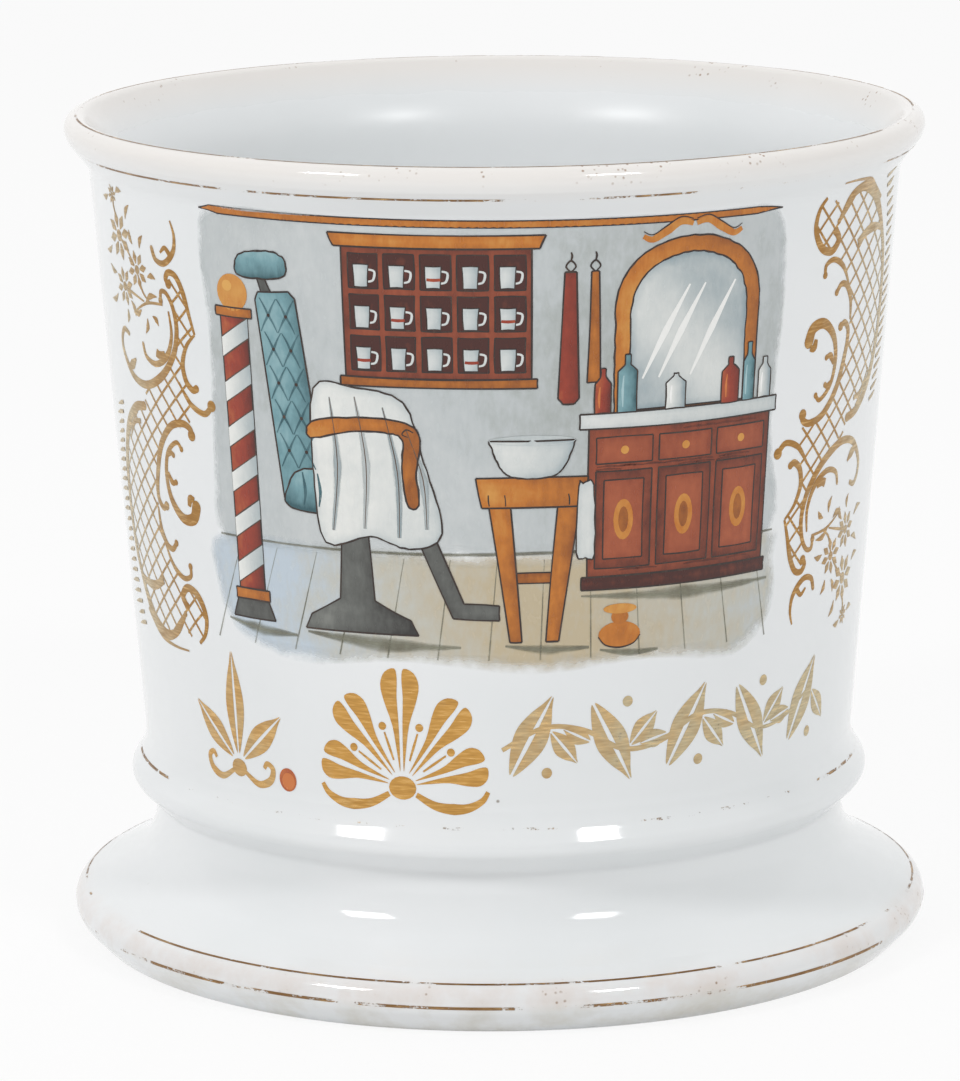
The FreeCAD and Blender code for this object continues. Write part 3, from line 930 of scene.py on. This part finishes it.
# Each scroll of the left cartouche: its points, its widths at start, middle and
# end, and the balls at its two ends
cartouche_scrolls = [
    ([(-37.4, 84.0), (-36.9, 82.4), (-37.3, 80.6), (-39.0, 79.2), (-40.6, 79.4), (-41.2, 80.6)],
     (0.25, 0.75, 0.6), 0, 0.5),
    ([(-37.9, 80.2), (-38.7, 80.9), (-39.6, 80.3)], (0.7, 0.55, 0.3), 0, 0),
    ([(-38.6, 77.0), (-39.0, 77.6), (-38.4, 78.3), (-37.2, 78.0), (-36.2, 76.4), (-35.4, 73.8),
      (-34.8, 72.0)], (0.7, 0.75, 0.35), 0.9, 0),
    ([(-34.8, 72.0), (-36.3, 70.6), (-37.2, 68.6), (-36.9, 66.8), (-35.9, 65.9), (-35.2, 66.1)],
     (0.3, 0.7, 0.8), 0, 0.75),
    ([(-40.3, 75.0), (-40.1, 76.0), (-39.1, 75.9), (-38.1, 74.4), (-37.8, 72.0), (-38.8, 69.2), (-41.4, 66.6),
      (-45.0, 65.1), (-48.4, 65.6), (-50.7, 67.8), (-50.9, 69.4), (-49.9, 70.5), (-48.6, 70.2)],
     (0.5, 1.0, 0.6), 0.7, 0.5),
    ([(-39.0, 74.0), (-38.8, 71.4), (-40.0, 69.0), (-42.3, 67.8), (-44.4, 68.3), (-45.0, 69.7)],
     (0.3, 0.8, 0.5), 0, 0.3),
    ([(-42.1, 69.1), (-41.4, 68.9), (-40.4, 69.3)], (1.0, 0.9, 0.4), 0, 0),
    ([(-49.6, 66.4), (-48.4, 66.8), (-47.2, 67.6)], (0.4, 1.2, 0.3), 0, 0),
    ([(-33.0, 64.5), (-34.2, 63.5), (-36.4, 64.3), (-38.2, 66.4)], (0.7, 0.7, 0.3), 1.1, 0),
    ([(-36.7, 60.8), (-36.9, 61.5), (-38.2, 61.9), (-40.6, 61.2), (-43.0, 58.7), (-44.4, 55.2), (-44.7, 52.9),
      (-43.8, 51.8), (-42.9, 52.1)], (0.8, 0.9, 0.7), 1.1, 0.9),
    ([(-38.8, 59.0), (-39.7, 59.6), (-41.6, 58.2), (-42.3, 55.6), (-41.6, 53.0), (-39.6, 51.3), (-37.6, 51.5),
      (-36.9, 52.9)], (0.5, 0.75, 1.5), 0.6, 1.3),
    ([(-41.7, 57.9), (-41.0, 58.3), (-40.5, 58.1)], (0.5, 0.7, 0.5), 0, 0.6),
    ([(-41.9, 56.0), (-41.2, 55.0), (-40.4, 55.1)], (0.4, 0.8, 0.5), 0, 0.6),
    ([(-38.2, 52.8), (-37.9, 53.7), (-37.2, 53.6)], (0.6, 0.9, 0.7), 0, 0),
    ([(-45.0, 51.6), (-44.7, 49.4), (-43.7, 47.8), (-42.4, 47.4), (-41.5, 48.2)], (0.4, 0.8, 0.6), 0, 0.7),
    ([(-44.2, 48.0), (-42.6, 45.6), (-40.6, 44.5), (-39.1, 44.9), (-39.0, 46.0)], (0.3, 0.7, 0.5), 0, 0.7),
    ([(-40.4, 41.4), (-41.1, 42.4), (-39.9, 43.5), (-38.0, 42.9), (-36.8, 40.8), (-37.2, 38.8),
      (-38.4, 37.6)], (0.9, 0.9, 0.4), 0.9, 0),
    ([(-40.9, 40.4), (-43.2, 38.0), (-46.4, 37.3), (-50.0, 39.4), (-52.4, 42.6)], (0.5, 1.4, 0.8), 0.6, 0),
    ([(-40.8, 36.3), (-44.0, 36.3), (-47.5, 36.9), (-51.0, 39.2)], (0.2, 0.45, 0.5), 0, 0),
    ([(-45.4, 43.4), (-47.8, 42.4), (-50.4, 42.3), (-52.6, 43.0)], (0.9, 1.1, 0.4), 0, 0),
    ([(-46.2, 62.6), (-48.8, 62.0), (-51.8, 59.6), (-54.0, 55.4), (-54.6, 50.6), (-53.8, 45.6),
      (-51.4, 41.2)], (1.0, 1.3, 0.9), 0.9, 0),
    ([(-47.6, 60.7), (-49.6, 60.2), (-51.6, 58.0)], (0.6, 0.5, 0.2), 0, 0),
]
trellis_field = [
    (-38.6, 77.6), (-36.6, 77.0), (-35.0, 72.2), (-36.6, 70.2), (-37.3, 68.2), (-36.2, 66.2), (-36.4, 64.4),
    (-36.8, 62.2), (-38.2, 62.1), (-40.6, 61.4), (-43.0, 59.0), (-44.5, 55.2), (-44.9, 52.4), (-45.1, 50.6),
    (-44.6, 48.6), (-43.0, 45.8), (-41.2, 44.4), (-39.9, 43.6), (-38.1, 42.8), (-37.0, 40.6), (-37.6, 38.6),
    (-38.8, 37.6), (-41.2, 38.6), (-43.4, 38.2), (-46.4, 37.6), (-50.0, 39.8), (-53.2, 44.0), (-54.3, 50.6),
    (-53.8, 55.2), (-51.6, 59.2), (-48.6, 61.6), (-46.4, 62.2), (-45.0, 65.0), (-41.6, 66.5), (-38.9, 69.2),
    (-37.9, 72.0), (-38.2, 74.4), (-39.0, 76.0),
]
trellis_middle = (-45.0, 57.0)
trellis_pitch = 1.9
trellis_line_width = 0.3
trellis_leans = (40, -46)
trellis_reach = 40
trellis_lines = 18
flowers = [(-48.7, 80.9, 2.7), (-44.8, 77.7, 2.1), (-48.4, 75.4, 2.1), (-49.8, 85.2, 1.1)]
flower_leaves = [
    # place, lean in degrees and length of each
    (-46.6, 83.0, 55, 2.0), (-51.4, 79.4, 200, 2.0), (-50.9, 74.2, 200, 2.4), (-50.6, 76.6, 160, 2.0),
    (-43.4, 74.4, 20, 2.6), (-44.6, 73.4, 196, 2.0), (-43.4, 72.6, 250, 1.8), (-42.2, 73.0, 320, 1.4),
    (-42.6, 77.2, 0, 1.6), (-43.8, 80.2, 60, 1.7), (-45.4, 80.4, 110, 1.6), (-51.2, 85.0, 190, 1.6),
    (-48.6, 85.6, 10, 1.6), (-47.0, 74.0, 300, 1.8), (-48.2, 72.9, 260, 1.5),
]
flower_stems = [
    [(-40.0, 74.6), (-43.2, 74.3), (-46.2, 73.0)], [(-44.8, 77.4), (-43.9, 75.4), (-42.4, 74.4)],
    [(-48.4, 75.4), (-46.0, 74.9), (-43.8, 74.4)], [(-48.7, 80.9), (-46.9, 79.6), (-45.4, 78.2)],
    [(-49.8, 85.2), (-49.6, 84.0), (-48.9, 82.2)],
]
fringe_bottom, fringe_top, fringe_pitch = 37.2, 63.0, 1.12
fringe_middle, fringe_half_height = 50.0, 14.5
fringe_root, fringe_bulge, fringe_length = -51.9, 3.6, 2.4


def inside_spans(start, end, outline):
    """The stretches of a straight line that lie inside an outline."""
    run = (end[0] - start[0], end[1] - start[1])
    shares = []
    for a, b in zip(outline, outline[1:] + outline[:1]):
        side = (b[0] - a[0], b[1] - a[1])
        cross = run[0] * side[1] - run[1] * side[0]
        along = ((a[0] - start[0]) * run[1] - (a[1] - start[1]) * run[0]) / cross
        if 0 <= along < 1:
            shares.append(((a[0] - start[0]) * side[1] - (a[1] - start[1]) * side[0]) / cross)
    places = [(start[0] + run[0] * share, start[1] + run[1] * share) for share in sorted(shares)]
    return list(zip(places[::2], places[1::2]))


def painted_glare(x, y):
    """Painted glare: the gold is drawn paler towards the sides of the mug, away from the picture, where it
    would catch the light.
    """
    return max(0.0, min(1.0, (abs(x) - 38.0) / 15.0))


def cartouche(work, half_turned):
    """Brush one cartouche into the drawing."""

    def placed(x, y):
        if half_turned:
            return (-x, 2 * cartouche_centre_height - y)
        return (x, y)

    def gilt_stroke(points, widths, crown=gilt_crown, per_span=6):
        stroke(work, [placed(*point) for point in points], widths, gilt_proud, painted_glare, crown,
               per_span=per_span)

    for points, widths, first_ball, last_ball in cartouche_scrolls:
        gilt_stroke(points, widths)
        for point, ball in ((points[0], first_ball), (points[-1], last_ball)):
            if ball:
                size = ball * ball_swell
                dot(work, *placed(*point), size, size, gilt_proud + ball_lift, painted_glare, gilt_crown)
    for lean in trellis_leans:
        along = (math.cos(math.radians(lean)), math.sin(math.radians(lean)))
        for index in range(-trellis_lines, trellis_lines + 1):
            offset = index * trellis_pitch
            middle = (trellis_middle[0] - along[1] * offset, trellis_middle[1] + along[0] * offset)
            start = (middle[0] - along[0] * trellis_reach, middle[1] - along[1] * trellis_reach)
            end = (middle[0] + along[0] * trellis_reach, middle[1] + along[1] * trellis_reach)
            for first, last in inside_spans(start, end, trellis_field):
                if math.dist(first, last) > 0.5:
                    bend = ((first[0] + last[0]) / 2 + rng.uniform(-0.1, 0.1), (first[1] + last[1]) / 2)
                    gilt_stroke([first, bend, last], (trellis_line_width,) * 3, 0.01, 5)
    for x, y, reach in flowers:
        for petal in range(8):
            angle = 2 * math.pi * (petal + 0.3) / 8
            petal_line = [(x + share * reach * math.cos(angle), y + share * reach * math.sin(angle))
                          for share in (0.32, 0.66, 1.0)]
            gilt_stroke(petal_line, (0.18, 0.42 * reach, 0.1), per_span=3)
        dot(work, *placed(x, y), 0.5 * reach, 0.5 * reach, gilt_proud, painted_glare, gilt_crown, 10)
    for x, y, lean, reach in flower_leaves:
        angle = math.radians(lean)
        bend = (x + 0.5 * reach * math.cos(angle + 0.3), y + 0.5 * reach * math.sin(angle + 0.3))
        tip = (x + reach * math.cos(angle), y + reach * math.sin(angle))
        gilt_stroke([(x, y), bend, tip], (0.15, 0.75, 0.08), per_span=4)
    for stem in flower_stems:
        gilt_stroke(stem, (0.3, 0.35, 0.2))
    for row in range(int((fringe_top - fringe_bottom) / fringe_pitch)):
        y = fringe_bottom + row * fringe_pitch
        bulge = max(0.0, 1 - ((y - fringe_middle) / fringe_half_height) ** 2)
        first = fringe_root - fringe_bulge * bulge
        last = first - fringe_length - rng.uniform(0, 1.0)
        thread = [(first, y), ((first + last) / 2, y - 0.25), (last, y - 0.6)]
        gilt_stroke(thread, (0.45, 0.5, 0.15), per_span=4)


# Gold that the kiln fixed and years of wiping have rubbed: it shows the strokes of
# the brush, turns pale and thin where it is worn, and is wiped off in streaks. On
# the cartouches the paleness is painted glare instead, drawn towards the mug's sides.
rubbed_gold, taken, given = node_group(
    "rubbed_gold",
    [("Fresh Gold", "Color", paint(196, 146, 70)), ("Pale Gold", "Color", paint(190, 170, 126)),
     ("Rubbing", "Float", 0.5)],
    [("Colour", "Color"), ("Roughness", "Float"), ("Alpha", "Float"), ("Height", "Float")],
)
cloud = noise(rubbed_gold, 420, 3)
brush_marks = noise(rubbed_gold, 2200, 2, (0.22, 0.22, 2.0))
grain = noise(rubbed_gold, 3000, 2)
# paleness from the points: wear on the garland and the lines, painted glare on the cartouches
wear_and_glare_paleness = carried(rubbed_gold, "shade")
toned = plus(rubbed_gold, wear_and_glare_paleness, noise_between(rubbed_gold, cloud, -0.22, 0.22), True)
gold_colour = mixed(rubbed_gold, toned, taken.outputs["Fresh Gold"], taken.outputs["Pale Gold"])
dark_streaks = spread(rubbed_gold, brush_marks, 0.4, 0.75, 0.0, 0.35)
light_streaks = spread(rubbed_gold, brush_marks, 0.46, 0.25, 0.0, 0.5)
gold_colour = mixed(rubbed_gold, dark_streaks, gold_colour, paint(134, 92, 44))
gold_colour = mixed(rubbed_gold, light_streaks, gold_colour, paint(238, 200, 138))
wiping = plus(rubbed_gold, noise_between(rubbed_gold, cloud, 0.0, 0.5),
              spread(rubbed_gold, plus(rubbed_gold, brush_marks, grain), 0.7, 1.35, 0.0, 0.5))
thickness = minus(rubbed_gold, times(rubbed_gold, carried(rubbed_gold, "cover"), 1.15),
                  times(rubbed_gold, wiping, taken.outputs["Rubbing"]))
for label, value in (("Colour", gold_colour), ("Height", brush_marks),
                     ("Roughness", noise_between(rubbed_gold, brush_marks, 0.26, 0.48)),
                     ("Alpha", spread(rubbed_gold, thickness, 0.0, 0.22))):
    rubbed_gold.links.new(value, given.inputs[label])
gold_relief = 0.01 * mm
gold_metallic = 0.75


def gilt(name, fresh, pale, rubbing):
    """Liquid gold fired over the glaze; colours from 0 to 255."""
    material, shader = laid_finish(name, rubbed_gold, {
        "Fresh Gold": paint(*fresh), "Pale Gold": paint(*pale), "Rubbing": rubbing,
    }, gold_relief)
    shader.inputs["Metallic"].default_value = gold_metallic
    return material


work = new_work()
cartouche(work, False)
cartouche(work, True)
# the pale gold of the cartouches is painted glare towards the sides of the mug
cartouche_gold = gilt("cartouche_gold", (172, 128, 68), (196, 182, 150), 0.75)
cartouches = laid_on_wall("gilt_cartouches", work, cartouche_gold)
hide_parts("gilding")

# A garland in the same gold runs below the picture: a leaf spray, a palmette with
# a berry beside it, and a vine of single leaves. Its gold is bright at the left
# and rubbed nearly away at the right.
garland_middle = 31.0
palmette_middle, spray_middle, vine_left = -11, -33, -1
leaf_root = -6.0
leaf_lift, garland_ball_lift = 0.004, 0.006
vine_cover = 0.65
garland_work = new_work(garland_middle)


def garland_tone(x, y):
    """Bright gold in the palmette, paler each side and palest at the far right."""
    if x < -22:
        return 0.35
    if x < vine_left:
        return -0.1
    return min(1.0, 0.6 + x / 100)


def garland_stroke(points, widths, per_span=8):
    """One stroke of the garland."""
    stroke(garland_work, points, widths, gilt_proud, garland_tone, gilt_crown, per_span=per_span,
           cover=1.0 if points[0][0] < vine_left else vine_cover)


def garland_ball(x, y, width, height):
    """One round touch of gold."""
    dot(garland_work, x, y, width, height, gilt_proud + garland_ball_lift, garland_tone, gilt_crown, 18)


# Half outlines of the two kinds of leaf, from base to tip and back along the bare
# vein: (how far along, how far out)
pointed_leaf = [(0.0, 0.05), (0.14, 0.22), (0.34, 0.38), (0.52, 0.42), (0.72, 0.30), (0.88, 0.13),
                (1.0, 0.02), (0.8, 0.04), (0.45, 0.06), (0.12, 0.04)]
rounded_lobe = [(0.0, 0.05), (0.2, 0.12), (0.45, 0.22), (0.68, 0.42), (0.84, 0.5), (0.96, 0.38),
                (1.0, 0.12), (0.9, 0.06), (0.72, 0.08), (0.45, 0.05), (0.15, 0.04)]


def leaf(x, y, lean, length, width, half_outline=pointed_leaf):
    """A leaf in two halves with the vein left bare between them."""
    side = math.radians(lean)
    up = (math.sin(side), math.cos(side))
    out = (math.cos(side), -math.sin(side))
    first = len(garland_work["cover"])
    for half in (-1, 1):
        field(garland_work, [
            (x + up[0] * along * length + out[0] * half * aside * width,
             y + up[1] * along * length + out[1] * half * aside * width)
            for along, aside in smooth_line(half_outline, 3, True)
        ], gilt_proud + leaf_lift, garland_tone)
    if x > vine_left:
        garland_work["cover"][first:] = [vine_cover] * (len(garland_work["cover"]) - first)


def fanned(middle, lean, reach):
    """A place so far out from the root of the palmette or the spray, at a lean."""
    side = math.radians(lean)
    return (middle + reach * math.sin(side), leaf_root + reach * math.cos(side))


for lean, length in ((-74, 8.4), (-37, 10.0), (0, 11.4), (37, 10.0), (74, 8.4)):
    leaf(*fanned(palmette_middle, lean, 1.6), lean, length, 4.4, rounded_lobe)
for lean in (-55, -18, 18, 55):
    # a bead on a stalk between each two lobes
    garland_stroke([fanned(palmette_middle, lean, reach) for reach in (3.0, 4.6, 6.2)], (0.2, 0.3, 0.2), 3)
    garland_ball(*fanned(palmette_middle, lean, 6.9), 0.9, 0.9)
garland_ball(palmette_middle, -6.2, 3.2, 2.6)
for lean, length in ((-48, 8.0), (0, 11.4), (48, 8.0)):
    leaf(*fanned(spray_middle, lean, 1.2), lean, length, 3.4)
garland_ball(spray_middle, -6.4, 2.4, 2.0)
palmette_scroll = ((1.6, -6.9), (4.0, -8.1), (7.0, -8.3), (9.0, -7.5), (9.8, -6.4))
spray_scroll = ((1.0, -6.8), (3.0, -7.8), (4.8, -7.2), (5.3, -5.9), (4.5, -5.3), (4.0, -5.9))
for mirrored in (-1, 1):
    for middle, points, widths in (
        (palmette_middle, palmette_scroll, (0.6, 1.2, 0.5)),
        (spray_middle, spray_scroll, (0.5, 0.9, 0.5)),
    ):
        garland_stroke([(middle + mirrored * x, y) for x, y in points], widths)
vine_start, vine_pitch = 1.4, 9.2
garland_stroke([(vine_start - 1.0 + index * vine_pitch / 2, -0.8 + 1.7 * math.sin(index * math.pi / 2 - 0.6))
                for index in range(10)], (0.5, 0.6, 0.3))
for index in range(5):
    rising = index % 2 == 0
    x = vine_start + index * vine_pitch
    leaf(x, -4.6 if rising else 3.0, 28 if rising else 152, 9.8, 4.4)
    leaf(x + 4.5, 0.1 if rising else -1.8, 140 if rising else 42, 4.6, 2.8)
    if index > 0:
        leaf(x - 0.3, -1.0 if rising else -1.1, 256 if rising else 296, 3.4, 2.4)
    garland_ball(x + 4.0, -4.4 if rising else 3.0, 1.2, 1.2)
garland_gold = gilt("garland_gold", (208, 158, 84), (196, 184, 152), 0.7)
garland = laid_on_wall("gilt_garland", garland_work, garland_gold)
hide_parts("gilding")

# Thin gilt lines run round the lip, the bead and the foot. They were banded on
# while the mug turned, and most of their gold has been rubbed off since.
line_proud = 0.02
gilt_lines = [
    # name, radius and height beside it, width, and its better stretches, each
    # (middle and half width in degrees from the front, how well it covers)
    ("gilt_line_lip_top", 45.9, lip_height, 0.34,
     [(-44, 8, 0.85), (-66, 22, 0.66), (-18, 24, 0.7), (16, 24, 0.7), (50, 20, 0.6), (110, 30, 0.6),
      (180, 26, 0.5), (-130, 30, 0.7)]),
    ("gilt_line_lip_side", 46.4, lip_height - 3.4, 0.3,
     [(-52, 18, 0.64), (-16, 22, 0.62), (20, 10, 0.5), (75, 14, 0.5), (125, 30, 0.6), (-125, 35, 0.6),
      (180, 20, 0.4)]),
    ("gilt_line_bead", 40.7, 21.0, 0.3,
     [(-76, 14, 0.62), (72, 12, 0.5), (130, 30, 0.6), (-140, 28, 0.6)]),
    ("gilt_line_foot_top", 46.6, 5.65, 0.26,
     [(-42, 20, 0.72), (-20, 12, 0.6), (0, 12, 0.7), (21, 12, 0.7), (46, 18, 0.62), (100, 28, 0.6),
      (-110, 30, 0.6), (180, 28, 0.5)]),
    ("gilt_line_foot_edge", 48.3, 3.2, 0.34,
     [(-45, 10, 0.64), (-28, 8, 0.62), (-8, 12, 0.63), (16, 8, 0.55), (46, 19, 0.65), (95, 16, 0.6),
      (150, 25, 0.6), (-120, 34, 0.6)]),
]


def distance_along(radius, height):
    """How far along the body's outline its point nearest a place lies."""
    nearest = (1000.0, 0.0)
    travelled = 0.0
    for start, end in zip(body_outline, body_outline[1:]):
        run = math.dist(start, end)
        step = (end[0] - start[0], end[1] - start[1])
        share = ((radius - start[0]) * step[0] + (height - start[1]) * step[1]) / run ** 2
        share = max(0.0, min(1.0, share))
        place = (start[0] + step[0] * share, start[1] + step[1] * share)
        nearest = min(nearest, (math.dist(place, (radius, height)), travelled + share * run))
        travelled += run
    return nearest[1]


def beside_outline(distance, proud):
    """The point that stands so far off the body's outline, that far along it."""
    for start, end in zip(body_outline, body_outline[1:]):
        run = math.dist(start, end)
        if distance <= run:
            break
        distance -= run
    out = (end[0] - start[0]) / run
    up = (end[1] - start[1]) / run
    return (start[0] + out * distance + up * proud, start[1] + up * distance - out * proud)


line_gold = gilt("line_gold", (124, 90, 54), (170, 140, 104), 0.95)
worn_cover = 0.25
for name, radius, height, width, stretches in gilt_lines:
    middle = distance_along(radius, height)
    across = [beside_outline(middle + width * share, line_proud) for share in (-0.5, -0.2, 0.2, 0.5)]
    band = spun(name, across)
    covers = []
    for vert in band.data.vertices:
        azimuth = math.degrees(math.atan2(vert.co.x, -vert.co.y))
        cover = worn_cover
        for stretch, half, strength in stretches:
            away = abs((azimuth - stretch + 180) % 360 - 180) / half
            cover = max(cover, strength * max(0.0, min(1.0, 2.2 - 2 * away)))
        covers.append(cover)
    for layer, values in (("cover", covers), ("shade", [1 - cover for cover in covers])):
        band.data.attributes.new(layer, "FLOAT", "POINT").data.foreach_set("value", values)
    if band.data.polygons[0].normal.dot(band.data.polygons[0].center) < 0:
        bpy.ops.object.mode_set(mode="EDIT")
        bpy.ops.mesh.flip_normals()
        bpy.ops.object.mode_set(mode="OBJECT")
    bpy.ops.object.shade_smooth()
    band.data.materials.append(line_gold)
    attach(band, "root")

# A white table top runs under the mug and far behind it. It is not part of the
# mug; it stays white to the camera and keeps the mug's soft shadow.
bpy.ops.object.select_all(action="DESELECT")
bpy.ops.mesh.primitive_grid_add(x_subdivisions=4, y_subdivisions=4, size=8, location=(0, 0, 0))
table_top = bpy.context.object
table_top.name = "table_top"
table_glow = 0.86
white_table, tree, shader = principled("white_table")
shader.inputs["Base Color"].default_value = (0.9, 0.9, 0.9, 1)
shader.inputs["Roughness"].default_value = 0.9
glow = tree.nodes.new("ShaderNodeEmission")
glow.inputs["Color"].default_value = (1, 1, 1, 1)
blend = tree.nodes.new("ShaderNodeMixShader")
rays = tree.nodes.new("ShaderNodeLightPath")
looking = larger(tree, rays.outputs["Is Camera Ray"],
                 larger(tree, rays.outputs["Is Glossy Ray"], rays.outputs["Is Transmission Ray"]))
tree.links.new(times(tree, looking, table_glow), blend.inputs[0])
tree.links.new(shader.outputs[0], blend.inputs[1])
tree.links.new(glow.outputs[0], blend.inputs[2])
tree.links.new(blend.outputs[0], tree.nodes["Material Output"].inputs["Surface"])
table_top.data.materials.append(white_table)

# Two soft boxes stand left and right of the camera, and a white room fills the
# rest of the reflections, so the glaze shows small paired lights.
world = bpy.data.worlds.new("white_room")
bpy.context.scene.world = world
world.use_nodes = True
sky = world.node_tree
way = sky.nodes.new("ShaderNodeTexCoord")
parts = sky.nodes.new("ShaderNodeSeparateXYZ")
sky.links.new(way.outputs["Generated"], parts.inputs[0])
front_strength, back_strength = 0.43, 0.92
behind = spread(sky, parts.outputs["Y"], -0.6, 0.7, front_strength, back_strength)
rays = sky.nodes.new("ShaderNodeLightPath")
mirrored = larger(sky, rays.outputs["Is Glossy Ray"], rays.outputs["Is Transmission Ray"])
mirrored = times(sky, mirrored, spread(sky, parts.outputs["Y"], 0.0, 0.4))
strength = larger(sky, larger(sky, behind, mirrored), rays.outputs["Is Camera Ray"])
sky.nodes["Background"].inputs["Color"].default_value = (1, 1, 1, 1)
sky.links.new(strength, sky.nodes["Background"].inputs["Strength"])
lamp_aim = 0.05


def soft_box(name, azimuth, elevation, distance, size, power):
    """A flat lamp facing the mug; azimuth 0 is in front, positive to the right."""
    flat = distance * math.cos(math.radians(elevation))
    data = bpy.data.lights.new(name, "AREA")
    data.shape = "RECTANGLE"
    data.size = size[0]
    data.size_y = size[1]
    data.energy = power
    lamp = bpy.data.objects.new(name, data)
    bpy.context.scene.collection.objects.link(lamp)
    lamp.location = (flat * math.sin(math.radians(azimuth)), -flat * math.cos(math.radians(azimuth)),
                     lamp_aim + distance * math.sin(math.radians(elevation)))
    lamp.rotation_euler = (math.radians(90 - elevation), 0, math.radians(azimuth))


soft_box("soft_box_left", -49, 40, 1.1, (0.24, 0.16), 3.0)
soft_box("soft_box_right", 35, 40, 1.1, (0.20, 0.16), 2.5)

# The camera stands in front, a little above, with a long lens, as in the photo.
camera_distance = 0.6314
camera_pitch = math.radians(11.77)
aim_height = 0.046
image_long_side = 1081
focal_pixels = 5660
shift_pixels = (-9, -23.5)
camera_roll = math.radians(0.4)
camera_data = bpy.data.cameras.new("camera")
camera_data.sensor_width = 36
camera_data.lens = focal_pixels * camera_data.sensor_width / image_long_side
camera_data.shift_x = shift_pixels[0] / image_long_side
camera_data.shift_y = shift_pixels[1] / image_long_side
camera_data.clip_start = 0.05
camera_data.clip_end = 50
camera = bpy.data.objects.new("camera", camera_data)
bpy.context.scene.collection.objects.link(camera)
camera.location = (0, -camera_distance * math.cos(camera_pitch),
                   aim_height + camera_distance * math.sin(camera_pitch))
camera.rotation_mode = "XYZ"
camera.rotation_euler = (math.radians(90) - camera_pitch, camera_roll, 0)
bpy.context.scene.camera = camera
bpy.context.scene.view_settings.view_transform = "Standard"
